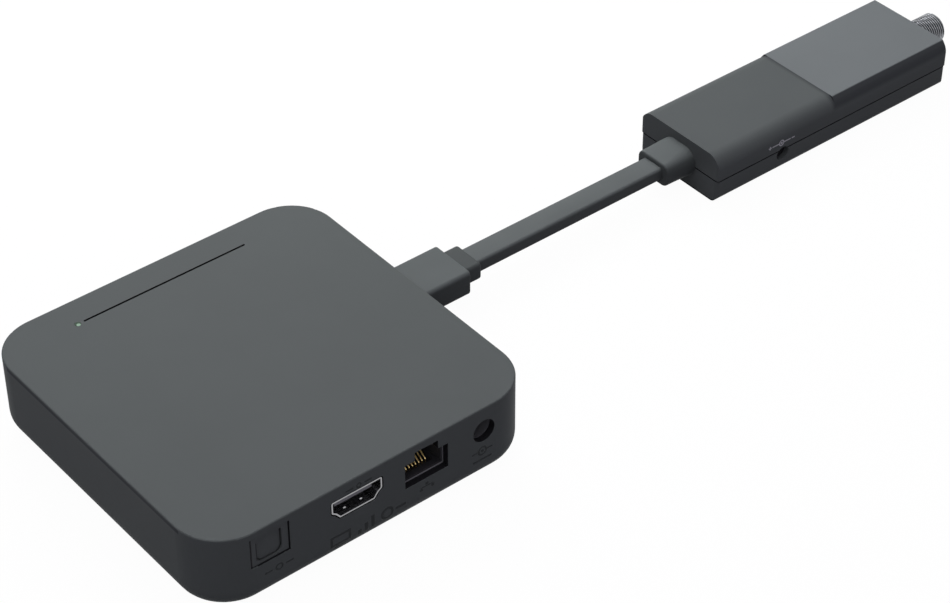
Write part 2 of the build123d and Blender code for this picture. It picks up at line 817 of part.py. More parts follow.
# Shutter: a door with round lower corners, a little narrower than the mouth, that hangs on its pin
# and swings inwards
shutter_width = optical_mouth_width - 2 * shutter_margin
shutter_front_y = chamber_front_y - shutter_gap
shutter_bottom = mouth_bottom + shutter_margin
with BuildPart() as optical_shutter:
    with BuildSketch(Plane.XZ.offset(-shutter_front_y)):
        with Locations((optical_x, (shutter_bottom + shutter_axis_z) / 2)):
            door = Rectangle(shutter_width, shutter_axis_z - shutter_bottom)
        fillet(door.vertices().group_by(Axis.Y)[0], optical_mouth_radius - shutter_margin)
    extrude(amount=shutter_thickness)
    with BuildSketch(across(optical_x - shutter_width / 2)):
        with Locations((shutter_axis_y, shutter_axis_z)):
            Circle(shutter_barrel_radius)
    extrude(amount=shutter_width)
    with BuildSketch(across(optical_x - shutter_width / 2)):
        with Locations((shutter_axis_y, shutter_axis_z)):
            Circle(shutter_pin_diameter / 2 + shutter_pin_gap)
    extrude(amount=shutter_width, mode=Mode.SUBTRACT)
optical_shutter.part.label = "optical_shutter"
export_step(optical_shutter.part, "parts/optical_shutter.step")

# Shutter pin: through the door's barrel and both side walls of the chamber
with BuildPart() as shutter_pin:
    with BuildSketch(across(optical_x - optical_body_width / 2)):
        with Locations((shutter_axis_y, shutter_axis_z)):
            Circle(shutter_pin_diameter / 2)
    extrude(amount=optical_body_width)
shutter_pin.part.label = "shutter_pin"
export_step(shutter_pin.part, "parts/shutter_pin.step")

# Shutter spring: an open coil round the pin, in the pocket beside the barrel
spring_radius = shutter_pin_diameter / 2 + shutter_spring_wire / 2 + shutter_pin_gap
spring_start_x = spring_side_x + (spring_room - spring_length) / 2
with BuildPart() as shutter_spring:
    with BuildLine() as spring_path:
        Helix(
            pitch=shutter_spring_pitch,
            height=spring_length,
            radius=spring_radius,
            center=(spring_start_x, shutter_axis_y, shutter_axis_z),
            direction=(1, 0, 0),
        )
    with BuildSketch(Plane(origin=spring_path.line @ 0, z_dir=spring_path.line % 0)):
        Circle(shutter_spring_wire / 2)
    sweep(path=spring_path.line, is_frenet=True)
shutter_spring.part.label = "shutter_spring"
export_step(shutter_spring.part, "parts/shutter_spring.step")

# Power socket housing: a block on the board with a deep round bore
dc_front_y = inner_half - seat_gap
dc_body_top = dc_z + dc_body_width / 2
dc_bore_end_y = dc_front_y - dc_bore_depth
with BuildPart() as dc_jack_housing:
    with BuildSketch(Plane.XZ.offset(-dc_front_y)):
        with Locations((dc_x, (board_top + dc_body_top) / 2)):
            Rectangle(dc_body_width, dc_body_top - board_top)
    extrude(amount=dc_bore_depth + dc_body_wall)
    with BuildSketch(Plane.XZ.offset(-dc_front_y)):
        with Locations((dc_x, dc_z)):
            Circle(dc_bore_diameter / 2)
    extrude(amount=dc_bore_depth, mode=Mode.SUBTRACT)
    with BuildSketch(Plane.XZ.offset(-dc_front_y)):
        with Locations((dc_x, dc_z)):
            Circle(dc_pin_root_diameter / 2 + seat_gap)
    extrude(amount=dc_bore_depth + dc_body_wall, mode=Mode.SUBTRACT)
dc_jack_housing.part.label = "dc_jack_housing"
export_step(dc_jack_housing.part, "parts/dc_jack_housing.step")

# Power socket pin: rooted in the housing's back, with a rounded tip
with BuildPart() as dc_jack_pin:
    with BuildSketch(Plane.XZ.offset(-dc_front_y + dc_pin_setback)):
        with Locations((dc_x, dc_z)):
            Circle(dc_pin_diameter / 2)
    extrude(amount=dc_bore_depth - dc_pin_setback)
    fillet(dc_jack_pin.faces().sort_by(Axis.Y)[-1].edges(), dc_pin_diameter / 5)
    with BuildSketch(Plane.XZ.offset(-dc_bore_end_y)):
        with Locations((dc_x, dc_z)):
            Circle(dc_pin_root_diameter / 2)
    extrude(amount=dc_body_wall)
dc_jack_pin.part.label = "dc_jack_pin"
export_step(dc_jack_pin.part, "parts/dc_jack_pin.step")

# Power socket spring: a flat strip on the bore's floor
dc_strip_drop = (dc_bore_diameter**2 - dc_spring_width**2) ** 0.5 / 2 - seat_gap
with BuildPart() as dc_jack_spring:
    with Locations((dc_x, dc_bore_end_y + dc_spring_length / 2 + seat_gap, dc_z - dc_strip_drop)):
        Box(
            dc_spring_width,
            dc_spring_length,
            dc_spring_thickness,
            align=(Align.CENTER, Align.CENTER, Align.MIN),
        )
dc_jack_spring.part.label = "dc_jack_spring"
export_step(dc_jack_spring.part, "parts/dc_jack_spring.step")

# Side socket shell: a metal tube hung under the board
side_front_x = -half_side + side_setback
side_block_x = plug_tip_x + plug_face_gap
side_socket_depth = side_block_x + side_block_depth - side_front_x
with BuildPart() as side_socket_shell:
    with BuildSketch(across(side_front_x)):
        with Locations((cable_y, cable_z)):
            RectangleRounded(side_shell_width, side_shell_height, side_metal)
            Rectangle(side_mouth_width, side_mouth_height, mode=Mode.SUBTRACT)
    extrude(amount=side_socket_depth)
side_socket_shell.part.label = "side_socket_shell"
export_step(side_socket_shell.part, "parts/side_socket_shell.step")

# Side socket tongue: on a block at the shell's back, in the upper half of the mouth
side_tongue_bottom = cable_z + side_tongue_rise
with BuildPart() as side_socket_tongue:
    with BuildSketch(across(side_block_x)):
        with Locations((cable_y, cable_z)):
            Rectangle(side_mouth_width - 2 * seat_gap, side_mouth_height - 2 * seat_gap)
    extrude(amount=side_block_depth)
    with BuildSketch(across(side_front_x + side_tongue_setback)):
        with Locations((cable_y, side_tongue_bottom + side_tongue_thickness / 2)):
            Rectangle(side_tongue_width, side_tongue_thickness)
    extrude(amount=side_block_x - side_front_x - side_tongue_setback)
side_socket_tongue.part.label = "side_socket_tongue"
export_step(side_socket_tongue.part, "parts/side_socket_tongue.step")

# Side socket contacts: four strips under the tongue
socket_contact_z = side_tongue_bottom - side_contact_thickness / 2
with BuildPart() as side_socket_contacts:
    with BuildSketch(across(side_block_x)):
        with Locations(*[(cable_y + step, socket_contact_z) for step in side_contact_offsets]):
            Rectangle(side_contact_width, side_contact_thickness)
    extrude(amount=-side_contact_length)
side_socket_contacts.part.label = "side_socket_contacts"
export_step(side_socket_contacts.part, "parts/side_socket_contacts.step")

# Light pipe and its light: a clear rod from just over the board to the top, with a flange under the ceiling
with BuildPart() as status_light:
    with Locations((light_x, line_y, board_top)):
        Box(
            status_light_width,
            status_light_width / 2,
            status_light_height,
            align=(Align.CENTER, Align.CENTER, Align.MIN),
        )
status_light.part.label = "status_light"
export_step(status_light.part, "parts/status_light.step")

with BuildPart() as light_pipe:
    with BuildSketch(Plane.XY.offset(board_top + status_light_height + seat_gap)):
        with Locations((light_x, line_y)):
            Circle(light_pipe_diameter / 2)
    extrude(amount=housing_top - board_top - status_light_height - seat_gap)
    with BuildSketch(Plane.XY.offset(ceiling)):
        with Locations((light_x, line_y)):
            Circle(light_pipe_flange / 2)
    extrude(amount=-light_pipe_flange_thickness)
light_pipe.part.label = "light_pipe"
export_step(light_pipe.part, "parts/light_pipe.step")

# Processor with its pad and finned heat sink, in front of the network transformer
transformer_y = lan_front_y - lan_body_depth - chip_row_gap / 2 - transformer_length / 2
processor_y = transformer_y - transformer_length / 2 - transformer_gap - heat_sink_width / 2
sink_bottom = board_top + processor_height + thermal_pad_thickness
sink_fin_pitch = (heat_sink_width - heat_sink_fin_thickness) / (heat_sink_fin_count - 1)
with BuildPart() as processor:
    with Locations((processor_x, processor_y, board_top)):
        Box(
            processor_width, processor_width, processor_height, align=(Align.CENTER, Align.CENTER, Align.MIN)
        )
processor.part.label = "processor"
export_step(processor.part, "parts/processor.step")

with BuildPart() as thermal_pad:
    with Locations((processor_x, processor_y, board_top + processor_height)):
        Box(
            thermal_pad_width,
            thermal_pad_width,
            thermal_pad_thickness,
            align=(Align.CENTER, Align.CENTER, Align.MIN),
        )
thermal_pad.part.label = "thermal_pad"
export_step(thermal_pad.part, "parts/thermal_pad.step")

with BuildPart() as heat_sink:
    with BuildSketch(Plane.XY.offset(sink_bottom)):
        with Locations((processor_x, processor_y)):
            Rectangle(heat_sink_width, heat_sink_width)
    extrude(amount=heat_sink_base)
    with BuildSketch(Plane.XY.offset(sink_bottom + heat_sink_base)):
        with Locations((processor_x, processor_y)):
            with GridLocations(sink_fin_pitch, sink_fin_pitch, heat_sink_fin_count, 1):
                Rectangle(heat_sink_fin_thickness, heat_sink_width)
    extrude(amount=heat_sink_fin_height)
heat_sink.part.label = "heat_sink"
export_step(heat_sink.part, "parts/heat_sink.step")

# Memory chips to the left of the heat sink
chip_x = processor_x - heat_sink_width / 2 - chip_row_gap - memory_chip_length / 2
chip_y = -half_side + board_screw_front_inset + board_screw_head + memory_chip_width / 2
with BuildPart() as memory_chips:
    with BuildSketch(Plane.XY.offset(board_top)):
        with Locations((chip_x, chip_y), (chip_x, chip_y + memory_chip_width + chip_row_gap)):
            Rectangle(memory_chip_length, memory_chip_width)
    extrude(amount=chip_height)
memory_chips.part.label = "memory_chips"
export_step(memory_chips.part, "parts/memory_chips.step")

# Wireless module beside a front board screw, the storage chip behind it and the clock crystal behind both
radio_x = half_side - board_screw_inset + standoff_diameter / 2
radio_y = -half_side + board_screw_front_inset + board_screw_head / 2 + radio_screw_gap + radio_length / 2
with BuildPart() as radio_module:
    with BuildSketch(Plane.XY.offset(board_top)):
        with Locations((radio_x, radio_y)):
            Rectangle(radio_width, radio_length)
    extrude(amount=radio_height)
radio_module.part.label = "radio_module"
export_step(radio_module.part, "parts/radio_module.step")

storage_x = radio_x + chip_gap + (storage_chip_width - radio_width) / 2
storage_y = radio_y + chip_gap + (storage_chip_length + radio_length) / 2
with BuildPart() as storage_chip:
    with BuildSketch(Plane.XY.offset(board_top)):
        with Locations((storage_x, storage_y)):
            Rectangle(storage_chip_width, storage_chip_length)
    extrude(amount=chip_height)
storage_chip.part.label = "storage_chip"
export_step(storage_chip.part, "parts/storage_chip.step")

storage_rear_y = storage_y + storage_chip_length / 2
rear_screw_front_y = half_side - board_screw_rear_inset - board_screw_head / 2
with BuildPart() as clock_crystal:
    with BuildSketch(Plane.XY.offset(board_top)):
        with Locations((storage_x, (storage_rear_y + rear_screw_front_y) / 2)):
            Rectangle(crystal_length, crystal_width)
    extrude(amount=crystal_height)
clock_crystal.part.label = "clock_crystal"
export_step(clock_crystal.part, "parts/clock_crystal.step")

# Power coils in a row between the heat sink and the board's front edge, with round capacitors beside them
sink_front_y = processor_y - heat_sink_width / 2
supply_y = sink_front_y + supply_share * (board_front_y - sink_front_y)
with BuildPart() as power_coils:
    with BuildSketch(Plane.XY.offset(board_top)):
        with Locations((processor_x, supply_y)):
            with GridLocations(coil_pitch, coil_pitch, coil_count, 1):
                RectangleRounded(coil_width, coil_width, coil_width / 6)
    extrude(amount=coil_height)
power_coils.part.label = "power_coils"
export_step(power_coils.part, "parts/power_coils.step")

capacitor_x = processor_x - (coil_count * coil_pitch + capacitor_count * capacitor_pitch) / 2
with BuildPart() as capacitors:
    with BuildSketch(Plane.XY.offset(board_top)):
        with Locations((capacitor_x, supply_y)):
            with GridLocations(capacitor_pitch, capacitor_pitch, capacitor_count, 1):
                Rectangle(capacitor_diameter, capacitor_diameter)
    extrude(amount=capacitor_base_height)
    with BuildSketch(Plane.XY.offset(board_top + capacitor_base_height)):
        with Locations((capacitor_x, supply_y)):
            with GridLocations(capacitor_pitch, capacitor_pitch, capacitor_count, 1):
                Circle(capacitor_diameter / 2 - seat_gap)
    extrude(amount=capacitor_height - capacitor_base_height)
capacitors.part.label = "capacitors"
export_step(capacitors.part, "parts/capacitors.step")

# Network transformer behind its socket
with BuildPart() as network_transformer:
    with BuildSketch(Plane.XY.offset(board_top)):
        with Locations((lan_x - chip_row_gap, transformer_y)):
            Rectangle(transformer_width, transformer_length)
    extrude(amount=transformer_height)
network_transformer.part.label = "network_transformer"
export_step(network_transformer.part, "parts/network_transformer.step")

# A stamped aerial on each side edge of the board
antenna_x = board_side / 2 - antenna_metal / 2
with BuildPart() as radio_antennas:
    for sign in (-1, 1):
        with Locations((sign * antenna_x, 0, board_top)):
            Box(antenna_metal, antenna_length, antenna_height, align=(Align.CENTER, Align.CENTER, Align.MIN))
        with Locations((sign * (antenna_x - antenna_foot / 2), 0, board_top)):
            Box(antenna_foot, antenna_foot, antenna_metal, align=(Align.CENTER, Align.CENTER, Align.MIN))
radio_antennas.part.label = "radio_antennas"
export_step(radio_antennas.part, "parts/radio_antennas.step")

# Plug overmould: a thick grip, then a narrower neck that holds the cable
with BuildPart() as plug_overmould:
    with BuildSketch(across(plug_face_x)):
        with Locations((cable_y, cable_z)):
            RectangleRounded(overmould_width, overmould_height, overmould_radius)
    extrude(amount=-overmould_length)
    fillet(plug_overmould.faces().sort_by(Axis.X)[0].edges(), overmould_edge_radius)
    fillet(plug_overmould.faces().sort_by(Axis.X)[-1].edges(), overmould_edge_radius)
    with BuildSketch(across(overmould_end_x)):
        with Locations((cable_y, cable_z)):
            RectangleRounded(neck_width, neck_height, neck_radius)
    extrude(amount=-neck_length)
    fillet(plug_overmould.faces().sort_by(Axis.X)[0].edges(), neck_edge_radius)
    with BuildSketch(across(plug_face_x)):
        with Locations((cable_y, cable_z)):
            Rectangle(plug_width + 2 * seat_gap, plug_height + 2 * seat_gap)
    extrude(amount=-plug_embed, mode=Mode.SUBTRACT)
plug_overmould.part.label = "plug_overmould"
export_step(plug_overmould.part, "parts/plug_overmould.step")

# Plug shell: a metal tube with two windows on each face
with BuildPart() as plug_shell:
    with BuildSketch(across(plug_face_x - plug_embed)):
        with Locations((cable_y, cable_z)):
            RectangleRounded(plug_width, plug_height, plug_metal)
            Rectangle(plug_width - 2 * plug_metal, plug_height - 2 * plug_metal, mode=Mode.SUBTRACT)
    extrude(amount=plug_embed + plug_reach)
    with Locations((plug_tip_x - plug_window_setback, cable_y, cable_z)):
        with GridLocations(plug_window_spacing, plug_window_spacing, 1, 2):
            Box(plug_window, plug_window, 2 * plug_height, mode=Mode.SUBTRACT)
plug_shell.part.label = "plug_shell"
export_step(plug_shell.part, "parts/plug_shell.step")

# Plug tongue and contacts: in the lower half of the shell
plug_tongue_bottom = cable_z - plug_height / 2 + plug_metal + seat_gap
plug_tongue_top = plug_tongue_bottom + plug_tongue_thickness
with BuildPart() as plug_tongue:
    with BuildSketch(across(plug_face_x - plug_embed)):
        with Locations((cable_y, (plug_tongue_bottom + plug_tongue_top) / 2)):
            Rectangle(plug_width - 2 * plug_metal - 2 * seat_gap, plug_tongue_thickness)
    extrude(amount=plug_embed + plug_reach - plug_metal)
plug_tongue.part.label = "plug_tongue"
export_step(plug_tongue.part, "parts/plug_tongue.step")

plug_contact_z = plug_tongue_top + side_contact_thickness / 2
with BuildPart() as plug_contacts:
    with BuildSketch(across(plug_tip_x - 3 * plug_metal)):
        with Locations(*[(cable_y + step, plug_contact_z) for step in side_contact_offsets]):
            Rectangle(side_contact_width, side_contact_thickness)
    extrude(amount=-side_contact_length)
plug_contacts.part.label = "plug_contacts"
export_step(plug_contacts.part, "parts/plug_contacts.step")

# Flat cable: one straight run, pulled tight between the plug's neck and the boot
with BuildPart() as tuner_cable:
    with BuildSketch(across(boot_free_x)):
        with Locations((cable_y, cable_z)):
            RectangleRounded(cable_width, cable_thickness, cable_edge_radius)
    extrude(amount=cable_length)
tuner_cable.part.label = "tuner_cable"
export_step(tuner_cable.part, "parts/tuner_cable.step")

# Cable boot: swells towards the stick, passes its end wall and is held by a flange inside
boot_flange_x = tuner_near_x - tuner_wall
with BuildPart() as cable_boot:
    with BuildSketch(across(boot_free_x)):
        with Locations((cable_y, cable_z)):
            RectangleRounded(boot_width, boot_height, boot_radius)
    with BuildSketch(across(tuner_near_x)):
        with Locations((cable_y, cable_z)):
            RectangleRounded(boot_root_width, boot_root_height, boot_root_radius)
    loft()
    with BuildSketch(across(tuner_near_x)):
        with Locations((cable_y, cable_z)):
            RectangleRounded(boot_neck_width, boot_neck_height, boot_neck_radius)
    extrude(amount=-tuner_wall)
    with BuildSketch(across(boot_flange_x)):
        with Locations((cable_y, cable_z)):
            RectangleRounded(
                boot_neck_width + 2 * boot_flange_overhang,
                boot_neck_height + 2 * boot_flange_overhang,
                boot_neck_radius,
            )
    extrude(amount=-boot_flange_thickness)
cable_boot.part.label = "cable_boot"
export_step(cable_boot.part, "parts/cable_boot.step")

# Room inside the stick, and the openings that both of its shells share
tuner_inner_width = tuner_width - 2 * tuner_wall
tuner_inner_length = tuner_length - 2 * tuner_wall
with BuildPart() as tuner_room:
    with BuildSketch(across(tuner_near_x - tuner_wall)):
        with BuildLine():
            half_room = tuner_inner_width / 2
            room_foot = half_room - tuner_lower_taper
            room_shape = Polyline(
                (cable_y - room_foot, tuner_wall),
                (cable_y + room_foot, tuner_wall),
                (cable_y + half_room, tuner_seam),
                (cable_y + half_room, tuner_cavity_top),
                (cable_y - half_room, tuner_cavity_top),
                (cable_y - half_room, tuner_seam),
                close=True,
            )
        make_face()
        fillet(room_shape.vertices().group_by(Axis.Y)[-1], tuner_top_radius - tuner_wall)
        fillet(room_shape.vertices().group_by(Axis.Y)[0], tuner_lower_radius - tuner_wall)
    extrude(amount=-tuner_inner_length)
    # Neck of the cable boot
    with BuildSketch(across(tuner_near_x)):
        with Locations((cable_y, cable_z)):
            RectangleRounded(
                boot_neck_width + 2 * seat_gap, boot_neck_height + 2 * seat_gap, boot_neck_radius + seat_gap
            )
    extrude(amount=-tuner_wall)
    # Coaxial barrel
    with BuildSketch(across(tuner_far_x)):
        with Locations((cable_y, coax_z)):
            Circle(coax_shoulder_diameter / 2 + seat_gap)
    extrude(amount=tuner_wall)
    # Power hole in the +Y side
    with BuildSketch(Plane.XZ.offset(-cable_y - tuner_width / 2)):
        with Locations((tuner_power_x, tuner_power_z)):
            Circle(tuner_power_hole / 2)
    extrude(amount=tuner_wall + tuner_lower_taper)


def tuner_upper_outline(crisp):
    """Return half the stick's outline above the seam, with a crisp or a round upper edge."""
    half_width = tuner_width / 2
    with BuildSketch() as outline:
        with BuildLine():
            if crisp:
                edge = half_width - panel_edge_inset
                bend = tuner_height - panel_side_rise
                Line((0, tuner_seam), (half_width, tuner_seam))
                Line((half_width, tuner_seam), (half_width, bend))
                TangentArc((half_width, bend), (edge, tuner_height), tangent=(0, 1))
                Line((edge, tuner_height), (0, tuner_height))
            else:
                bend = tuner_height - tuner_top_radius
                Line((0, tuner_seam), (half_width, tuner_seam))
                Line((half_width, tuner_seam), (half_width, bend))
                TangentArc(
                    (half_width, bend), (half_width - tuner_top_radius, tuner_height), tangent=(0, 1)
                )
                Line((half_width - tuner_top_radius, tuner_height), (0, tuner_height))
            mirror(about=Plane.YZ)
        make_face()
    return outline.sketch


# Upper shell of the stick: round edges on the cable half, a seat for the flat panel on the other
with BuildPart() as tuner_upper_shell:
    with BuildSketch(across(tuner_near_x)):
        with Locations((cable_y, 0)):
            add(tuner_upper_outline(crisp=False))
    extrude(amount=panel_start_x - tuner_near_x)
    with BuildSketch(across(panel_start_x)):
        with Locations((cable_y, 0)):
            add(tuner_upper_outline(crisp=True))
    extrude(amount=tuner_far_x - panel_start_x)
    with BuildSketch(Plane.XY.offset(tuner_height - panel_thickness)):
        with Locations(((panel_start_x + tuner_far_x) / 2, cable_y)):
            Rectangle(panel_start_x - tuner_far_x, tuner_width)
    extrude(amount=panel_thickness, mode=Mode.SUBTRACT)
    with BuildSketch():
        with Locations(((tuner_near_x + tuner_far_x) / 2, cable_y)):
            RectangleRounded(tuner_length, tuner_width, tuner_corner_radius)
    extrude(amount=tuner_height, mode=Mode.INTERSECT)
    add(tuner_room.part, mode=Mode.SUBTRACT)
tuner_upper_shell.part.label = "tuner_upper_shell"
export_step(tuner_upper_shell.part, "parts/tuner_upper_shell.step")

# Light panel: a flat plate with crisp edges, flush with the cable half's top
with BuildPart() as tuner_top_panel:
    with BuildSketch(across(panel_start_x - seat_gap)):
        with Locations((cable_y, 0)):
            add(tuner_upper_outline(crisp=True))
        with Locations((cable_y, 0)):
            Rectangle(
                2 * tuner_width, 2 * (tuner_height - panel_thickness), mode=Mode.SUBTRACT
            )
    extrude(amount=tuner_far_x - panel_start_x + seat_gap)
    with BuildSketch():
        with Locations(((tuner_near_x + tuner_far_x) / 2, cable_y)):
            RectangleRounded(tuner_length, tuner_width, tuner_corner_radius)
    extrude(amount=tuner_height, mode=Mode.INTERSECT)
tuner_top_panel.part.label = "tuner_top_panel"
export_step(tuner_top_panel.part, "parts/tuner_top_panel.step")

# Lower shell of the stick: sides that draw in a little, and short posts under the board
tuner_board_x = tuner_near_x - tuner_wall - boot_flange_thickness - tuner_board_gap
tuner_board_end_x = tuner_far_x + tuner_wall + coax_flange_thickness + tuner_board_gap
tuner_board_width = tuner_inner_width - 2 * tuner_lower_taper - 2 * tuner_board_gap
tuner_post_x = (tuner_board_x + tuner_board_end_x) / 2
tuner_post_spacing = tuner_board_x - tuner_board_end_x - 2 * tuner_post_inset
tuner_post_row = tuner_board_width - 2 * tuner_post_side_inset
tuner_foot = tuner_width / 2 - tuner_lower_taper
with BuildPart() as tuner_lower_shell:
    with BuildSketch(across(tuner_near_x)):
        with BuildLine():
            lower_shape = Polyline(
                (cable_y - tuner_foot, 0),
                (cable_y + tuner_foot, 0),
                (cable_y + tuner_width / 2, tuner_seam),
                (cable_y - tuner_width / 2, tuner_seam),
                close=True,
            )
        make_face()
        fillet(lower_shape.vertices().group_by(Axis.Y)[0], tuner_lower_radius)
    extrude(amount=-tuner_length)
    with BuildSketch():
        with Locations(((tuner_near_x + tuner_far_x) / 2, cable_y)):
            RectangleRounded(tuner_length, tuner_width, tuner_lower_corner_radius)
    extrude(amount=tuner_seam, mode=Mode.INTERSECT)
    add(tuner_room.part, mode=Mode.SUBTRACT)
    # A shallow groove all round, just under the seam
    with BuildSketch(Plane.XY.offset(tuner_seam)):
        with Locations(((tuner_near_x + tuner_far_x) / 2, cable_y)):
            Rectangle(2 * tuner_length, 2 * tuner_width)
            RectangleRounded(
                tuner_length - 2 * tuner_groove_depth,
                tuner_width - 2 * tuner_groove_depth,
                tuner_lower_corner_radius - tuner_groove_depth,
                mode=Mode.SUBTRACT,
            )
    extrude(amount=-tuner_groove_height, mode=Mode.SUBTRACT)
    with BuildSketch(Plane.XY.offset(tuner_wall)):
        with Locations((tuner_post_x, cable_y)):
            with GridLocations(tuner_post_spacing, tuner_post_row, 2, 2):
                Circle(tuner_post_diameter / 2)
    extrude(amount=tuner_post)
tuner_lower_shell.part.label = "tuner_lower_shell"
export_step(tuner_lower_shell.part, "parts/tuner_lower_shell.step")

# Tuner board and the parts on it
with BuildPart() as tuner_board:
    with BuildSketch(Plane.XY.offset(tuner_board_bottom)):
        with Locations((tuner_post_x, cable_y)):
            Rectangle(tuner_board_x - tuner_board_end_x, tuner_board_width)
    extrude(amount=tuner_board_thickness)
tuner_board.part.label = "tuner_board"
export_step(tuner_board.part, "parts/tuner_board.step")

shield_x = tuner_board_end_x + coax_block_length + chip_row_gap + shield_length / 2
with BuildPart() as tuner_shield_can:
    with BuildSketch(Plane.XY.offset(tuner_board_top)):
        with Locations((shield_x, cable_y)):
            Rectangle(shield_length, shield_width)
    extrude(amount=shield_height)
    with BuildSketch(Plane.XY.offset(tuner_board_top)):
        with Locations((shield_x, cable_y)):
            Rectangle(shield_length - 2 * shield_metal, shield_width - 2 * shield_metal)
    extrude(amount=shield_height - shield_metal, mode=Mode.SUBTRACT)
tuner_shield_can.part.label = "tuner_shield_can"
export_step(tuner_shield_can.part, "parts/tuner_shield_can.step")

with BuildPart() as demodulator_chip:
    with BuildSketch(Plane.XY.offset(tuner_board_top)):
        with Locations((shield_x, cable_y)):
            Rectangle(demodulator_width, demodulator_width)
    extrude(amount=chip_height)
demodulator_chip.part.label = "demodulator_chip"
export_step(demodulator_chip.part, "parts/demodulator_chip.step")

bridge_x = shield_x + shield_length / 2 + chip_row_gap + bridge_chip_width / 2
with BuildPart() as bridge_chip:
    with BuildSketch(Plane.XY.offset(tuner_board_top)):
        with Locations((bridge_x, cable_y - bridge_chip_width / 2)):
            Rectangle(bridge_chip_width, bridge_chip_width)
    extrude(amount=chip_height)
bridge_chip.part.label = "bridge_chip"
export_step(bridge_chip.part, "parts/bridge_chip.step")

tuner_crystal_y = cable_y - bridge_chip_width / 2
with BuildPart() as tuner_crystal:
    with BuildSketch(Plane.XY.offset(tuner_board_top)):
        with Locations((bridge_x + bridge_chip_width, tuner_crystal_y)):
            Rectangle(crystal_width, crystal_length)
    extrude(amount=crystal_height)
tuner_crystal.part.label = "tuner_crystal"
export_step(tuner_crystal.part, "parts/tuner_crystal.step")

tuner_coil_x = bridge_x + bridge_chip_width / 2 + chip_row_gap + tuner_coil_pitch
tuner_coil_y = tuner_crystal_y - (crystal_length + tuner_coil_width) / 2 - tuner_coil_gap
with BuildPart() as tuner_coils:
    with BuildSketch(Plane.XY.offset(tuner_board_top)):
        with Locations((tuner_coil_x, tuner_coil_y)):
            with GridLocations(tuner_coil_pitch, tuner_coil_pitch, tuner_coil_count, 1):
                RectangleRounded(tuner_coil_width, tuner_coil_width, tuner_coil_width / 6)
    extrude(amount=tuner_coil_height)
tuner_coils.part.label = "tuner_coils"
export_step(tuner_coils.part, "parts/tuner_coils.step")

# Coaxial barrel: threaded outside the end wall, a flange inside it and a block on the board
coax_flange_x = tuner_far_x + tuner_wall
coax_block_end_x = coax_flange_x + coax_flange_thickness + coax_block_length
coax_root_radius = coax_diameter / 2 - coax_thread_depth
coax_foot_radius = coax_root_radius - coax_thread_depth / 4
coax_shoulder_x = coax_end_x + (coax_thread_turns + 0.5) * coax_pitch
with BuildPart() as coax_barrel:
    with BuildSketch(across(coax_end_x)):
        with Locations((cable_y, coax_z)):
            Circle(coax_root_radius)
    extrude(amount=coax_flange_x - coax_end_x)
    # The thread's crests, each a ring with sloping flanks
    with BuildSketch(Plane.XZ.offset(-cable_y)):
        for turn in range(coax_thread_turns):
            crest_x = coax_end_x + (turn + 0.5) * coax_pitch
            with BuildLine():
                Polyline(
                    (crest_x - coax_pitch * 0.4, coax_z + coax_foot_radius),
                    (crest_x - coax_crest / 2, coax_z + coax_diameter / 2),
                    (crest_x + coax_crest / 2, coax_z + coax_diameter / 2),
                    (crest_x + coax_pitch * 0.4, coax_z + coax_foot_radius),
                    close=True,
                )
            make_face()
    revolve(axis=Axis((coax_end_x, cable_y, coax_z), (1, 0, 0)))
    with BuildSketch(across(coax_shoulder_x)):
        with Locations((cable_y, coax_z)):
            Circle(coax_shoulder_diameter / 2)
    extrude(amount=coax_flange_x - coax_shoulder_x)
    with BuildSketch(across(coax_flange_x)):
        with Locations((cable_y, coax_z)):
            Circle(coax_flange_diameter / 2)
    extrude(amount=coax_flange_thickness)
    with BuildSketch(across(coax_flange_x + coax_flange_thickness)):
        with Locations((cable_y, (tuner_board_top + coax_z + coax_block_width / 2) / 2)):
            Rectangle(coax_block_width, coax_z + coax_block_width / 2 - tuner_board_top)
    extrude(amount=coax_block_length)
    with BuildSketch(across(coax_end_x)):
        with Locations((cable_y, coax_z)):
            Circle(coax_bore / 2)
    extrude(amount=coax_block_end_x - coax_end_x, mode=Mode.SUBTRACT)
coax_barrel.part.label = "coax_barrel"
export_step(coax_barrel.part, "parts/coax_barrel.step")

# Coaxial insulator: fills the barrel round the contact
with BuildPart() as coax_insulator:
    with BuildSketch(across(coax_end_x + coax_insulator_setback)):
        with Locations((cable_y, coax_z)):
            Circle(coax_bore / 2 - seat_gap)
            Circle(coax_contact_diameter / 2 + seat_gap, mode=Mode.SUBTRACT)
    extrude(amount=coax_block_end_x - coax_end_x - coax_insulator_setback)
coax_insulator.part.label = "coax_insulator"
export_step(coax_insulator.part, "parts/coax_insulator.step")

# Coaxial contact: a tube through the insulator with a lead down to the board behind the block
coax_contact_x = coax_end_x + coax_insulator_setback + coax_contact_setback
with BuildPart() as coax_contact:
    with BuildSketch(across(coax_contact_x)):
        with Locations((cable_y, coax_z)):
            Circle(coax_contact_diameter / 2)
    extrude(amount=coax_block_end_x + coax_lead_thickness - coax_contact_x)
    with BuildSketch(across(coax_block_end_x)):
        with Locations((cable_y, (coax_z + tuner_board_top) / 2)):
            Rectangle(coax_contact_diameter, coax_z - tuner_board_top)
    extrude(amount=coax_lead_thickness)
    with BuildSketch(across(coax_contact_x)):
        with Locations((cable_y, coax_z)):
            Circle(coax_contact_bore / 2)
    extrude(amount=coax_contact_depth, mode=Mode.SUBTRACT)
coax_contact.part.label = "coax_contact"
export_step(coax_contact.part, "parts/coax_contact.step")

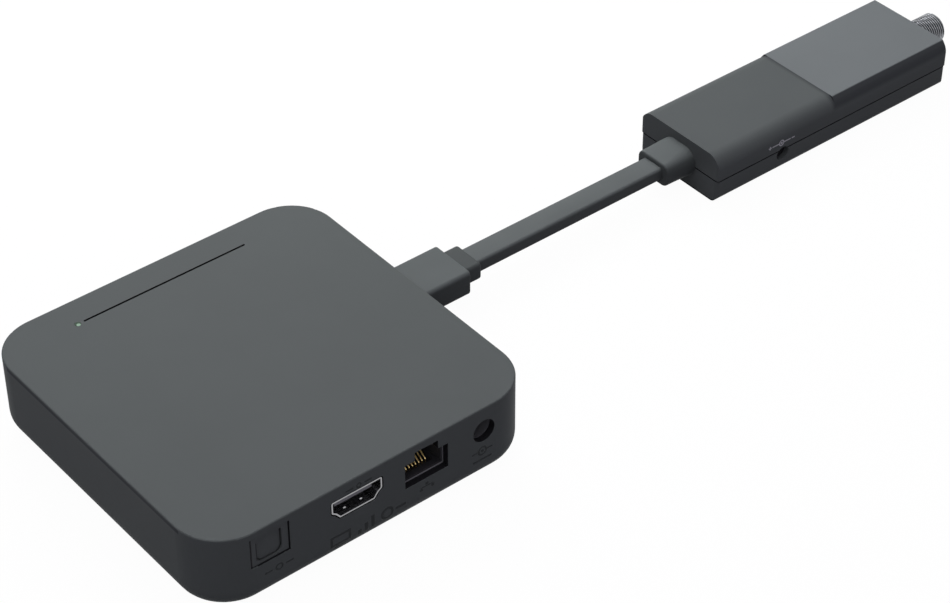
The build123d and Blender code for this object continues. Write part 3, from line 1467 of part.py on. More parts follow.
# Power socket of the stick: a small block on the board behind the power hole
tuner_power_front_y = cable_y + tuner_inner_width / 2 - tuner_lower_taper - seat_gap
tuner_power_top = tuner_power_z + tuner_power_body_width / 2
tuner_power_end_y = tuner_power_front_y - tuner_power_depth
with BuildPart() as tuner_power_housing:
    with BuildSketch(Plane.XZ.offset(-tuner_power_front_y)):
        with Locations((tuner_power_x, (tuner_board_top + tuner_power_top) / 2)):
            Rectangle(tuner_power_body_width, tuner_power_top - tuner_board_top)
    extrude(amount=tuner_power_depth + tuner_power_back)
    with BuildSketch(Plane.XZ.offset(-tuner_power_front_y)):
        with Locations((tuner_power_x, tuner_power_z)):
            Circle(tuner_power_bore / 2)
    extrude(amount=tuner_power_depth, mode=Mode.SUBTRACT)
    with BuildSketch(Plane.XZ.offset(-tuner_power_front_y)):
        with Locations((tuner_power_x, tuner_power_z)):
            Circle(tuner_power_root_diameter / 2 + seat_gap)
    extrude(amount=tuner_power_depth + tuner_power_back, mode=Mode.SUBTRACT)
tuner_power_housing.part.label = "tuner_power_housing"
export_step(tuner_power_housing.part, "parts/tuner_power_housing.step")

with BuildPart() as tuner_power_pin:
    with BuildSketch(Plane.XZ.offset(-tuner_power_front_y + tuner_power_pin_setback)):
        with Locations((tuner_power_x, tuner_power_z)):
            Circle(tuner_power_pin_diameter / 2)
    extrude(amount=tuner_power_depth - tuner_power_pin_setback)
    fillet(tuner_power_pin.faces().sort_by(Axis.Y)[-1].edges(), tuner_power_pin_diameter / 5)
    with BuildSketch(Plane.XZ.offset(-tuner_power_end_y)):
        with Locations((tuner_power_x, tuner_power_z)):
            Circle(tuner_power_root_diameter / 2)
    extrude(amount=tuner_power_back)
tuner_power_pin.part.label = "tuner_power_pin"
export_step(tuner_power_pin.part, "parts/tuner_power_pin.step")

power_strip_drop = (tuner_power_bore**2 - tuner_power_spring_width**2) ** 0.5 / 2 - seat_gap
with BuildPart() as tuner_power_spring:
    with Locations(
        (
            tuner_power_x,
            tuner_power_end_y + tuner_power_spring_length / 2 + seat_gap,
            tuner_power_z - power_strip_drop,
        )
    ):
        Box(
            tuner_power_spring_width,
            tuner_power_spring_length,
            tuner_power_spring_thickness,
            align=(Align.CENTER, Align.CENTER, Align.MIN),
        )
tuner_power_spring.part.label = "tuner_power_spring"
export_step(tuner_power_spring.part, "parts/tuner_power_spring.step")

# Wires of the cable inside the stick: from the boot's flange down to the board
wire_start_x = boot_flange_x - boot_flange_thickness
with BuildPart() as cable_wires:
    for index in range(wire_count):
        wire_y = cable_y + (index - (wire_count - 1) / 2) * wire_pitch
        with BuildLine() as wire_path:
            FilletPolyline(
                (wire_start_x, wire_y, cable_z),
                (wire_start_x - wire_reach, wire_y, cable_z),
                (wire_start_x - wire_reach, wire_y, tuner_board_top),
                radius=wire_bend,
            )
        with BuildSketch(Plane(origin=wire_path.line @ 0, z_dir=wire_path.line % 0)):
            Circle(wire_diameter / 2)
        sweep(path=wire_path.line)
cable_wires.part.label = "cable_wires"
export_step(cable_wires.part, "parts/cable_wires.step")

print("tuner cable: one straight run of", cable_length, "mm")
print("its volume against section times length:", tuner_cable.part.volume / cable_length)
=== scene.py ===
"""The look of a streaming box with a plug-in tuner stick, dressed over its solid parts."""

import logging
import math
from dataclasses import dataclass
from enum import Enum
from typing import Optional, Sequence, Union

import bpy
import numpy as np
from mathutils import Matrix, Vector


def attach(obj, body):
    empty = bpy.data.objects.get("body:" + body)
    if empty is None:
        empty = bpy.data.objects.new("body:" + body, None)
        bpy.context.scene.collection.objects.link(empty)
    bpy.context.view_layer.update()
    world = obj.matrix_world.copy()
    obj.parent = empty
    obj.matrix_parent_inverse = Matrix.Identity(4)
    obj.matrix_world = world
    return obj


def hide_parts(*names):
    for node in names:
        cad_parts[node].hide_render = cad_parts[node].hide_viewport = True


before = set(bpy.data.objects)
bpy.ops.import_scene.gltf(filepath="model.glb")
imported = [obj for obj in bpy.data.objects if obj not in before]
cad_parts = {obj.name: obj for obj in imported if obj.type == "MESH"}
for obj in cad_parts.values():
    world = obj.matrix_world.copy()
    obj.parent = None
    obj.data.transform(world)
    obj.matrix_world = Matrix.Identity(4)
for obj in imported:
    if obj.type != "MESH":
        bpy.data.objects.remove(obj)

LOG = logging.getLogger("streaming_box")
MM = 0.001
MIX_FACTOR, MIX_FIRST, MIX_SECOND, MIX_RESULT = 0, 6, 7, 2
MARK_DEPTH = 0.0005
Number = Union[int, float]
Colour = tuple[float, float, float]
Point = tuple[float, float, float]


class Body(Enum):
    """The rigid bodies that a piece can ride on."""

    BOX = "box"
    SHUTTER = "shutter"
    TUNER = "tuner"


# ---------- shader maths ----------


class Wire:
    """One value inside a material. Arithmetic on it adds Math nodes."""

    def __init__(self, graph: "Graph", socket: Optional[bpy.types.NodeSocket]) -> None:
        """Wrap an output socket.

        Args:
            graph: The material's graph that the socket belongs to.
            socket: The output socket, or None on a node that has none.
        """
        self.graph = graph
        self.socket = socket

    def _math(self, operation: str, *values: Union["Wire", Number]) -> "Wire":
        """Return a Math node's result on the given values, in order."""
        return self.graph.node("ShaderNodeMath", {"operation": operation}, dict(enumerate(values)))

    def __add__(self, other: Union["Wire", Number]) -> "Wire":
        """Return self plus other."""
        return self._math("ADD", self, other)

    def __radd__(self, other: Number) -> "Wire":
        """Return other plus self."""
        return self._math("ADD", other, self)

    def __sub__(self, other: Union["Wire", Number]) -> "Wire":
        """Return self less other."""
        return self._math("SUBTRACT", self, other)

    def __rsub__(self, other: Number) -> "Wire":
        """Return other less self."""
        return self._math("SUBTRACT", other, self)

    def __mul__(self, other: Union["Wire", Number]) -> "Wire":
        """Return self times other."""
        return self._math("MULTIPLY", self, other)

    def __rmul__(self, other: Number) -> "Wire":
        """Return other times self."""
        return self._math("MULTIPLY", other, self)

    def above(self, limit: Number) -> "Wire":
        """Return 1 where self is greater than the limit, else 0."""
        return self._math("GREATER_THAN", self, limit)

    def peak(self, other: "Wire") -> "Wire":
        """Return the greater of self and other."""
        return self._math("MAXIMUM", self, other)

    def within(self, centre: Number, reach: Number, soft: Number) -> "Wire":
        """Return 1 where self lies within reach of the centre, falling to 0 over a soft edge."""
        away = self._math("ABSOLUTE", self - centre)
        return 1.0 - away.ramp(reach - soft / 2, reach + soft / 2)

    def ramp(self, low: Number, high: Number, start: Number = 0.0, end: Number = 1.0) -> "Wire":
        """Return self mapped from low..high to start..end along a smooth step.

        Args:
            low: The value that gives start.
            high: The value that gives end.
            start: The result at and below low.
            end: The result at and above high.

        Returns:
            The mapped value.
        """
        return self.graph.node(
            "ShaderNodeMapRange",
            {"interpolation_type": "SMOOTHSTEP"},
            {"Value": self, "From Min": low, "From Max": high, "To Min": start, "To Max": end},
        )


class Graph:
    """A material's node tree with one method that adds any node."""

    def __init__(self, tree: bpy.types.NodeTree) -> None:
        """Take a node tree and empty it.

        Args:
            tree: The tree of a material or of the world.
        """
        self.tree = tree
        self.tree.nodes.clear()

    def node(
        self,
        kind: str,
        settings: Optional[dict] = None,
        sockets: Optional[dict] = None,
        outlet: Union[int, str] = 0,
    ) -> Wire:
        """Add a node, set it up and link or fill its sockets.

        Args:
            kind: The node's type name.
            settings: Its properties, which are set before the sockets.
            sockets: Values or wires by input name or index.
            outlet: The output that the result stands for.

        Returns:
            The chosen output.
        """
        made = self.tree.nodes.new(kind)
        for name, value in (settings or {}).items():
            setattr(made, name, value)
        for name, value in (sockets or {}).items():
            if isinstance(value, Wire):
                self.tree.links.new(value.socket, made.inputs[name])
            else:
                made.inputs[name].default_value = value
        return Wire(self, made.outputs[outlet] if made.outputs else None)

    def mix(self, factor: Union[Wire, Number], low: Union[Wire, Colour], high: Union[Wire, Colour]) -> Wire:
        """Return a colour between low and high.

        Args:
            factor: 0 gives low and 1 gives high.
            low: A colour or a wire of one.
            high: A colour or a wire of one.

        Returns:
            The mixed colour.
        """
        first, second = (end if isinstance(end, Wire) else (*end, 1.0) for end in (low, high))
        sockets = {MIX_FACTOR: factor, MIX_FIRST: first, MIX_SECOND: second}
        return self.node("ShaderNodeMix", {"data_type": "RGBA"}, sockets, outlet=MIX_RESULT)

    def place(self, stretch: Point = (1.0, 1.0, 1.0), shift: Point = (0.0, 0.0, 0.0)) -> Wire:
        """Return Object coordinates, moved and then stretched.

        Args:
            stretch: Factors along X, Y and Z.
            shift: The point that becomes the pattern's origin.

        Returns:
            The coordinates.
        """
        coordinates = self.node("ShaderNodeTexCoord", outlet="Object")
        moved = self.node("ShaderNodeVectorMath", {"operation": "SUBTRACT"}, {0: coordinates, 1: shift})
        return self.node("ShaderNodeVectorMath", {"operation": "MULTIPLY"}, {0: moved, 1: stretch})

    def along(self, where: Wire, axis: str) -> Wire:
        """Return one coordinate, X, Y or Z, of a vector."""
        return self.node("ShaderNodeSeparateXYZ", None, {0: where}, outlet=axis)

    def distance(self, where: Wire) -> Wire:
        """Return a vector's length."""
        return self.node("ShaderNodeVectorMath", {"operation": "LENGTH"}, {0: where}, outlet="Value")

    def noise(self, where: Wire, scale: float, detail: float = 2.0, roughness: float = 0.5) -> Wire:
        """Return a noise value round 0.5.

        Args:
            where: The coordinates.
            scale: Cells per metre.
            detail: Layers of finer noise.
            roughness: Weight of the finer layers.

        Returns:
            The noise.
        """
        return self.node(
            "ShaderNodeTexNoise",
            None,
            {"Vector": where, "Scale": scale, "Detail": detail, "Roughness": roughness},
        )

    def mark(self, mark: "Mark", soft: float) -> Wire:
        """Return 1 on a small mark on a wall that faces +Y, else 0.

        Args:
            mark: The mark.
            soft: The width of its soft edge, in metres.

        Returns:
            The mask.
        """
        local = self.place((1.0, 0.0, 1.0), (mark.x, 0.0, mark.z))
        if mark.ring:
            shape = self.distance(local).within(mark.length, mark.height, soft)
        else:
            across, rise = self.along(local, "X"), self.along(local, "Z")
            shape = across.within(0.0, mark.length, soft) * rise.within(0.0, mark.height, soft)
        return shape * self.along(self.place(), "Y").above(mark.wall - MARK_DEPTH)

    def marks(self, marks: Sequence["Mark"], soft: float) -> Wire:
        """Return 1 on any of the marks, else 0.

        Args:
            marks: The marks.
            soft: The width of their soft edge, in metres.

        Returns:
            The mask.
        """
        shapes = [self.mark(mark, soft) for mark in marks]
        joined = shapes[0]
        for shape in shapes[1:]:
            joined = joined.peak(shape)
        return joined

    def inside(self, zone: "Zone") -> Wire:
        """Return 1 inside a zone and 0 outside, with its soft edge.

        Args:
            zone: The zone.

        Returns:
            The mask.
        """
        share: Union[Wire, Number] = 1.0
        for axis, low, high in zip("XYZ", zone.low, zone.high):
            coordinate = self.along(self.place(), axis)
            share = coordinate.within((low + high) / 2, (high - low) / 2, zone.soft) * share
        return share

    def bump(self, height: Wire, distance: float, under: Optional[Wire] = None) -> Wire:
        """Return a normal bent by a height.

        Args:
            height: The height, from 0 to 1.
            distance: The real height of 1, in metres.
            under: A normal to build on.

        Returns:
            The bent normal.
        """
        sockets = {"Height": height, "Distance": distance, "Strength": 1.0}
        if under is not None:
            sockets["Normal"] = under
        return self.node("ShaderNodeBump", None, sockets)

    def surface(self, sockets: dict) -> Wire:
        """Return a Principled shader with the given sockets."""
        return self.node("ShaderNodeBsdfPrincipled", None, sockets)


# ---------- finishes ----------


@dataclass(frozen=True)
class Mark:
    """A small ring or bar on a wall that faces +Y, in metres.

    A ring has length as its radius and height as half its line's width; a bar has them as half sizes.
    """

    x: float
    z: float
    wall: float
    length: float
    height: float
    ring: bool = False


@dataclass(frozen=True)
class Zone:
    """A box in metres, from low to high, where a finish takes another colour over a soft edge."""

    low: Point
    high: Point
    colour: Colour
    soft: float = 0.0001


def scaled(colour: Colour, share: float) -> Colour:
    """Return a colour with each channel times a share."""
    return tuple(channel * share for channel in colour)


@dataclass(frozen=True)
class Finish:
    """A surface finish: its name and what every kind of finish shares."""

    name: str
    colour: Colour
    roughness: float

    def material(self) -> bpy.types.Material:
        """Make the finish's material on the first call, and find it again on later ones.

        Returns:
            The material.
        """
        found = bpy.data.materials.get(self.name)
        if found is not None and found.get("dressed"):
            return found
        made = bpy.data.materials.new(self.name)
        made.use_nodes = True
        made["dressed"] = True
        graph = Graph(made.node_tree)
        shader = self.shade(graph)
        graph.node("ShaderNodeOutputMaterial", None, {"Surface": shader})
        made.diffuse_color = (*self.colour, 1.0)
        return made

    def shade(self, graph: Graph) -> Wire:
        """Return the finish's shader, which each kind of finish makes its own way."""
        raise NotImplementedError


@dataclass(frozen=True)
class MouldedPlastic(Finish):
    """Moulded plastic with a fine spark-eroded grain and slight unevenness of tone and gloss."""

    grain: float = 2600.0
    grain_height: float = 0.000012
    pit_scale: float = 0.7
    drift_scale: float = 22.0
    mottle: float = 0.05
    gloss_drift: float = 0.05
    grain_gloss: float = 0.08
    specular: float = 0.5
    raised: tuple[Mark, ...] = ()
    raised_soft: float = 0.00025
    raised_height: float = 0.00015
    raised_share: float = 0.35
    raised_cover: float = 0.75
    printed: tuple[Mark, ...] = ()
    printed_soft: float = 0.00006
    ink: Colour = (0.50, 0.51, 0.52)
    zones: tuple[Zone, ...] = ()

    def shade(self, graph: Graph) -> Wire:
        """Shade plastic: its colour drifts over centimetres, the grain is a fraction of a millimetre.

        Raised marks add to the relief and are darker, printed ones take the ink's colour, and a zone
        takes its own, which on most zones is painted shade or a painted highlight.

        Args:
            graph: The graph of the material that is made.

        Returns:
            The shader.
        """
        where = graph.place()
        drift = graph.noise(where, self.drift_scale, 3.0, 0.55)
        fine = graph.noise(where, self.grain, 2.0, 0.6)
        pit_sockets = {"Vector": where, "Scale": self.grain * self.pit_scale}
        pits = graph.node("ShaderNodeTexVoronoi", {"feature": "SMOOTH_F1"}, pit_sockets)
        darker, lighter = scaled(self.colour, 1.0 - self.mottle), scaled(self.colour, 1.0 + self.mottle)
        tone = graph.mix(drift.ramp(0.3, 0.7) * 0.75 + fine * 0.25, darker, lighter)
        gloss = drift.ramp(0.25, 0.75, self.roughness - self.gloss_drift, self.roughness + self.gloss_drift)
        relief = graph.bump(fine * 0.6 + pits * 0.4, self.grain_height)
        if self.raised:
            shape = graph.marks(self.raised, self.raised_soft)
            relief = graph.bump(shape, self.raised_height, under=relief)
            tone = graph.mix(shape * self.raised_cover, tone, scaled(self.colour, self.raised_share))
        if self.printed:
            tone = graph.mix(graph.marks(self.printed, self.printed_soft), tone, self.ink)
        # Zones: mostly painted shade or painted highlights, in their own colour.
        for zone in self.zones:
            tone = graph.mix(graph.inside(zone), tone, zone.colour)
        return graph.surface(
            {
                "Base Color": tone,
                "Roughness": gloss + (fine - 0.5) * self.grain_gloss,
                "Specular IOR Level": self.specular,
                "Normal": relief,
            }
        )


@dataclass(frozen=True)
class SoftRubber(Finish):
    """Soft moulded rubber or cable sheath, with faint lines along its length."""

    draw_lines: float = 0.0
    line_stretch: Point = (0.02, 1.0, 1.0)
    line_scale: float = 2400.0
    skin_scale: float = 1500.0
    skin_height: float = 0.00001
    drift_scale: float = 40.0
    tones: tuple[float, float] = (0.95, 1.06)
    gloss_drift: tuple[float, float] = (-0.05, 0.07)
    specular: float = 0.4
    # Painted shade: below the heights in rise the colour falls to its shaded share, so the sides are darker
    # than the top.
    rise: Optional[tuple[float, float]] = None
    shaded_share: float = 0.6

    def shade(self, graph: Graph) -> Wire:
        """Shade rubber: a dull skin, with draw lines along X where draw_lines is above 0.

        Where a rise is given, painted shade darkens the colour below it: the colour climbs from its
        shaded share at the first height to all of it at the second, so the sides are darker than the top.

        Args:
            graph: The graph of the material that is made.

        Returns:
            The shader.
        """
        where = graph.place()
        lines = graph.noise(graph.place(self.line_stretch), self.line_scale, 2.0, 0.6)
        skin = graph.noise(where, self.skin_scale, 3.0, 0.6)
        drift = graph.noise(where, self.drift_scale, 2.0)
        height = lines * self.draw_lines + skin * (1.0 - self.draw_lines)
        darker, lighter = (scaled(self.colour, share) for share in self.tones)
        tone = graph.mix(drift.ramp(0.3, 0.7), darker, lighter)
        # Painted shade: darker below the rise.
        if self.rise is not None:
            high = graph.along(where, "Z").ramp(*self.rise)
            tone = graph.mix(high, scaled(self.colour, self.shaded_share), tone)
        smooth, dull = (self.roughness + step for step in self.gloss_drift)
        return graph.surface(
            {
                "Base Color": tone,
                "Roughness": skin.ramp(0.2, 0.8, smooth, dull),
                "Specular IOR Level": self.specular,
                "Normal": graph.bump(height, self.skin_height),
            }
        )


@dataclass(frozen=True)
class PlatedMetal(Finish):
    """Plated or brushed metal with fine streaks along one axis."""

    streak: Point = (1.0, 1.0, 1.0)
    streak_scale: float = 3000.0
    streak_height: float = 0.000003
    stain_scale: float = 260.0
    tarnish: float = 0.12
    gloss_shares: tuple[float, float] = (0.8, 1.25)
    # axis, roots and the root share paint shade into a thread's roots round an axis along X.
    axis: Optional[tuple[float, float]] = None
    roots: tuple[float, float] = (0.0, 1.0)
    root_shade_share: float = 0.12

    def shade(self, graph: Graph) -> Wire:
        """Shade metal: streaked roughness, a little uneven tarnish, and dark roots round an axis along X.

        Painted shade in the thread's roots runs from the first radius, which is dark, to the second, which
        is unshaded.

        Args:
            graph: The graph of the material that is made.

        Returns:
            The shader.
        """
        streaks = graph.noise(graph.place(self.streak), self.streak_scale, 3.0, 0.65)
        stain = graph.noise(graph.place(), self.stain_scale, 3.0, 0.6)
        tone = graph.mix(stain.ramp(0.35, 0.75), self.colour, scaled(self.colour, 1.0 - self.tarnish))
        # Painted shade: darker in the thread's roots, nearer the axis.
        if self.axis is not None:
            radius = graph.distance(graph.place((0.0, 1.0, 1.0), (0.0, *self.axis)))
            tone = graph.mix(radius.ramp(*self.roots), scaled(self.colour, self.root_shade_share), tone)
        smooth, rough = (self.roughness * share for share in self.gloss_shares)
        return graph.surface(
            {
                "Base Color": tone,
                "Metallic": 1.0,
                "Roughness": streaks.ramp(0.25, 0.75, smooth, rough),
                "Normal": graph.bump(streaks, self.streak_height),
            }
        )


@dataclass(frozen=True)
class BoardLaminate(Finish):
    """Circuit board: solder mask over copper tracks, with rows of small pads."""

    copper: Colour = (0.02, 0.11, 0.06)
    copper_height: float = 0.00003
    track_scale: float = 420.0
    track_unevenness: float = 0.35
    area_scale: float = 90.0

    def shade(self, graph: Graph) -> Wire:
        """Shade board: tracks are the thin cell walls of an uneven grid, raised by the copper.

        Args:
            graph: The graph of the material that is made.

        Returns:
            The shader.
        """
        where = graph.place()
        track_sockets = {"Vector": where, "Scale": self.track_scale, "Randomness": self.track_unevenness}
        tracks = graph.node("ShaderNodeTexVoronoi", {"feature": "DISTANCE_TO_EDGE"}, track_sockets)
        areas = graph.noise(where, self.area_scale, 1.0)
        raised = (1.0 - tracks.ramp(0.06, 0.1)) * areas.ramp(0.42, 0.5)
        return graph.surface(
            {
                "Base Color": graph.mix(raised, self.colour, self.copper),
                "Roughness": raised.ramp(0.0, 1.0, self.roughness, self.roughness * 0.8),
                "Coat Weight": 0.3,
                "Normal": graph.bump(raised, self.copper_height),
            }
        )


@dataclass(frozen=True)
class ClearGuide(Finish):
    """Clear light guide that carries green light up: a pale spot with a dark rim round it."""

    spot: tuple[float, float] = (0.0, 0.0)
    spot_radii: tuple[float, float] = (0.0004, 0.0007)
    glow: Colour = (0.03, 0.07, 0.04)
    rim: Colour = (0.020, 0.050, 0.026)
    cloud_scale: float = 1800.0
    cloud_share: float = 0.9
    cloud_roughness: float = 0.1
    specular: float = 0.08

    def shade(self, graph: Graph) -> Wire:
        """Shade a guide: colour and glow fade from the spot's middle to the rim, with slight clouding.

        Args:
            graph: The graph of the material that is made.

        Returns:
            The shader.
        """
        cloud = graph.noise(graph.place(), self.cloud_scale, 2.0)
        outside = graph.distance(graph.place((1.0, 1.0, 0.0), (*self.spot, 0.0))).ramp(*self.spot_radii)
        middle = graph.mix(cloud, self.colour, scaled(self.colour, self.cloud_share))
        return graph.surface(
            {
                "Base Color": graph.mix(outside, middle, self.rim),
                "Roughness": cloud.ramp(0.3, 0.7, self.roughness, self.roughness + self.cloud_roughness),
                "Specular IOR Level": self.specular,
                "Emission Color": graph.mix(outside, self.glow, (0.0, 0.0, 0.0)),
                "Emission Strength": 1.0,
            }
        )


# ---------- marks on the walls, and zones of another colour (most are painted shade or painted highlight), in metres ---

REAR_WALL = 0.05
STICK_WALL = 0.00325


def bar(x: float, z: float, width: float, height: float, wall: float = REAR_WALL) -> Mark:
    """Return an upright or level bar of a given full size, in metres."""
    return Mark(x, z, wall, width / 2, height / 2)


def frame_mark(x: float, z: float, width: float, height: float, line: float) -> tuple[Mark, ...]:
    """Return the four bars of an outlined rectangle.

    Args:
        x: Its middle along the wall.
        z: Its middle height.
        width: Its full width.
        height: Its full height.
        line: The width of its line.

    Returns:
        The bars.
    """
    across, rise = (width - line) / 2, (height - line) / 2
    return (
        bar(x, z + rise, width, line),
        bar(x, z - rise, width, line),
        bar(x + across, z, line, height),
        bar(x - across, z, line, height),
    )


SCREEN_SYMBOL = frame_mark(0.0120, 0.0068, 0.0062, 0.0034, 0.0007) + (bar(0.0120, 0.0045, 0.0034, 0.0006),)
SIGNAL_STEPS = (
    bar(0.0062, 0.0055, 0.0010, 0.0016),
    bar(0.0042, 0.0061, 0.0010, 0.0028),
    bar(0.0022, 0.0067, 0.0010, 0.0040),
)
PLAY_RING = (
    Mark(-0.0022, 0.0067, REAR_WALL, 0.0016, 0.00035, ring=True),
    bar(-0.0064, 0.0067, 0.0032, 0.0008),
)
LIGHT_SYMBOL = (
    Mark(0.0302, 0.0088, REAR_WALL, 0.0009, 0.00022, ring=True),
    bar(0.0271, 0.0088, 0.0022, 0.0005),
    bar(0.0333, 0.0088, 0.0022, 0.0005),
)
UPPER_SYMBOL = (
    bar(0.0088, 0.0209, 0.0022, 0.0005),
    Mark(0.0060, 0.0209, REAR_WALL, 0.0006, 0.0002, ring=True),
    bar(0.0032, 0.0209, 0.0022, 0.0005),
)
LINK_SYMBOL = (
    bar(-0.0146, 0.0086, 0.0040, 0.0004),
    bar(-0.0164, 0.0079, 0.0009, 0.0009),
    bar(-0.0146, 0.0094, 0.0009, 0.0009),
    bar(-0.0128, 0.0079, 0.0009, 0.0009),
)
POWER_SYMBOL = (
    Mark(-0.0322, 0.0100, REAR_WALL, 0.0012, 0.00025, ring=True),
    bar(-0.0322, 0.0100, 0.0008, 0.0008),
    bar(-0.0299, 0.0100, 0.0018, 0.0005),
    bar(-0.0345, 0.0100, 0.0018, 0.0005),
    bar(-0.0322, 0.0072, 0.0060, 0.0006),
)
SOCKET_MARKS = (
    SCREEN_SYMBOL + SIGNAL_STEPS + PLAY_RING + LIGHT_SYMBOL + UPPER_SYMBOL + LINK_SYMBOL + POWER_SYMBOL
)
POLARITY_MARKS = (
    Mark(-0.1812, 0.0101, STICK_WALL, 0.00085, 0.0002, ring=True),
    Mark(-0.1812, 0.0101, STICK_WALL, 0.00035, 0.00035),
    bar(-0.1789, 0.0101, 0.0026, 0.0004, STICK_WALL),
    bar(-0.1835, 0.0101, 0.0026, 0.0004, STICK_WALL),
    bar(-0.1767, 0.0101, 0.0012, 0.0004, STICK_WALL),
    bar(-0.1767, 0.0101, 0.0004, 0.0012, STICK_WALL),
    bar(-0.1858, 0.0101, 0.0012, 0.0004, STICK_WALL),
)
# Painted shade: the inner faces of the rear wall's openings are darkened, as little light reaches into
# them.
OPENING_SHADE = Zone((-0.0375, 0.0470, 0.0050), (0.0360, 0.04985, 0.0224), (0.014, 0.014, 0.016))
# Painted shade: the shell's inner faces round the optical socket are darkened, as a shadowed gap.
OPTICAL_OPENING_SHADE = Zone((0.0255, 0.0470, 0.0110), (0.0385, 0.0495, 0.0224), (0.014, 0.014, 0.016))
# Painted shade: the light line's groove on the top is dark, as its shaded inside.
LIGHT_GROOVE_SHADE = Zone(
    (-0.02515, -0.04115, 0.0230), (0.02515, -0.04050, 0.0245), (0.012, 0.013, 0.014), soft=0.00005
)
# Painted shade: a dark band along the top of the +X side, just under the top's rounded edge.
SIDE_EDGE_SHADE = Zone((0.0490, -0.0380, 0.0224), (0.0510, 0.0380, 0.0235), (0.045, 0.049, 0.053), soft=0.0005)
# Painted shade: the shell's bottom 3 mm, mostly its rounded lower edge, is darker, as a contact shadow.
SHELL_FOOT_SHADE = Zone((-0.06, -0.06, 0.0), (0.06, 0.06, 0.0030), (0.035, 0.038, 0.040))
# Painted shade: the stick's lowest edge is darker, as a contact shadow.
STICK_FOOT_SHADE = Zone((-0.30, -0.05, -0.001), (-0.10, 0.05, 0.0005), (0.035, 0.038, 0.040))
STICK_SEAM = Zone((-0.30, -0.05, 0.0073), (-0.10, 0.05, 0.0077), (0.010, 0.010, 0.012))
# Painted shade: the stick's side under the top panel's edge is darker.
UNDER_PANEL_SHADE = Zone((-0.30, -0.05, 0.0122), (-0.2022, 0.05, 0.0200), (0.052, 0.057, 0.060), soft=0.0020)
# The top panel's sides below its top take a darker colour: partly the stick's dark plastic, partly painted
# shade beneath the panel's edge.
PANEL_SIDE_TONE_AND_SHADE = Zone((-0.30, -0.05, 0.0), (-0.20, 0.05, 0.01545), (0.050, 0.055, 0.058))
# Painted shadow: a thin dark line along the optical housing's side edge, as the shadow in its gap.
OPTICAL_SIDE_SHADE = Zone((0.0375, 0.0485, 0.0120), (0.0390, 0.0502, 0.0225), (0.020, 0.020, 0.022))
# Painted shadow: a thin dark line at one side of the optical door, as the shadow in its gap.
OPTICAL_LIP_SHADE = Zone((0.0359, 0.0485, 0.0140), (0.0363, 0.0502, 0.0196), (0.030, 0.031, 0.033))
# Painted highlight: a bright line on the network jack's lower mouth edge.
JACK_SILL_HIGHLIGHT = Zone((-0.0214, 0.0477, 0.0110), (-0.0078, 0.0490, 0.0115), (0.300, 0.305, 0.320))
# Painted highlight: a bright line up the network jack's mouth edge on its -X side.
JACK_CHEEK_HIGHLIGHT = Zone((-0.0214, 0.0477, 0.0110), (-0.0209, 0.0490, 0.0188), (0.200, 0.205, 0.215))

# ---------- this object's finishes ----------

SHELL = MouldedPlastic(
    "housing_plastic",
    (0.096, 0.107, 0.105),
    0.52,
    specular=0.025,
    raised=SOCKET_MARKS,
    zones=(OPENING_SHADE, OPTICAL_OPENING_SHADE, LIGHT_GROOVE_SHADE, SIDE_EDGE_SHADE, SHELL_FOOT_SHADE),
)
STICK = MouldedPlastic(
    "stick_plastic",
    (0.092, 0.102, 0.101),
    0.52,
    specular=0.03,
    printed=POLARITY_MARKS,
    zones=(UNDER_PANEL_SHADE, STICK_SEAM, STICK_FOOT_SHADE),
)
PANEL = MouldedPlastic(
    "panel_plastic", (0.147, 0.163, 0.164), 0.48, grain=2000.0, specular=0.06, zones=(PANEL_SIDE_TONE_AND_SHADE,)
)
# The plug and the cable have painted shade on their sides: darker below the heights in rise.
PLUG = SoftRubber(
    "plug_rubber", (0.107, 0.120, 0.118), 0.55, specular=0.04, rise=(0.0104, 0.0119), shaded_share=0.62
)
SHEATH = SoftRubber(
    "cable_rubber",
    (0.112, 0.125, 0.123),
    0.52,
    draw_lines=0.7,
    specular=0.04,
    rise=(0.0093, 0.0101),
    shaded_share=0.65,
)
FOOT = SoftRubber("foot_rubber", (0.020, 0.020, 0.020), 0.75)
SILICONE = SoftRubber("pad_silicone", (0.35, 0.37, 0.40), 0.7)
WIRE_SKIN = SoftRubber("wire_sheath", (0.30, 0.05, 0.04), 0.5, draw_lines=0.5)
SCREW = PlatedMetal("screw_steel", (0.25, 0.25, 0.26), 0.38)
SHEET = PlatedMetal("sheet_metal", (0.62, 0.62, 0.60), 0.35, streak=(0.05, 1.0, 1.0))
CHROME = PlatedMetal("socket_metal", (0.34, 0.34, 0.35), 0.24, streak=(0.1, 1.0, 1.0))
CAN = PlatedMetal("can_metal", (0.70, 0.70, 0.71), 0.3)
SINK = PlatedMetal("sink_metal", (0.45, 0.46, 0.47), 0.42, streak=(1.0, 0.05, 1.0))
PIN = PlatedMetal("pin_metal", (0.68, 0.68, 0.67), 0.22, streak=(1.0, 0.1, 1.0))
# The barrel's thread roots take painted shade between the ridges (axis, roots).
COAX = PlatedMetal(
    "coax_metal",
    (0.33, 0.34, 0.36),
    0.22,
    streak=(1.0, 0.15, 0.15),
    tarnish=0.08,
    axis=(-0.01295, 0.0078),
    roots=(0.00432, 0.00470),
)
GOLD = PlatedMetal("gold_contacts", (0.95, 0.72, 0.34), 0.3, tarnish=0.1)
BOARD = BoardLaminate("board_laminate", (0.008, 0.045, 0.025), 0.38)
RESIN = MouldedPlastic("chip_plastic", (0.015, 0.015, 0.016), 0.55, grain=4000.0, mottle=0.12)
FERRITE = MouldedPlastic("coil_ferrite", (0.06, 0.06, 0.062), 0.7, grain=1500.0, mottle=0.15)
SOCKET = MouldedPlastic(
    "socket_plastic",
    (0.038, 0.038, 0.042),
    0.42,
    grain=3000.0,
    specular=0.15,
    zones=(JACK_SILL_HIGHLIGHT, JACK_CHEEK_HIGHLIGHT),
)
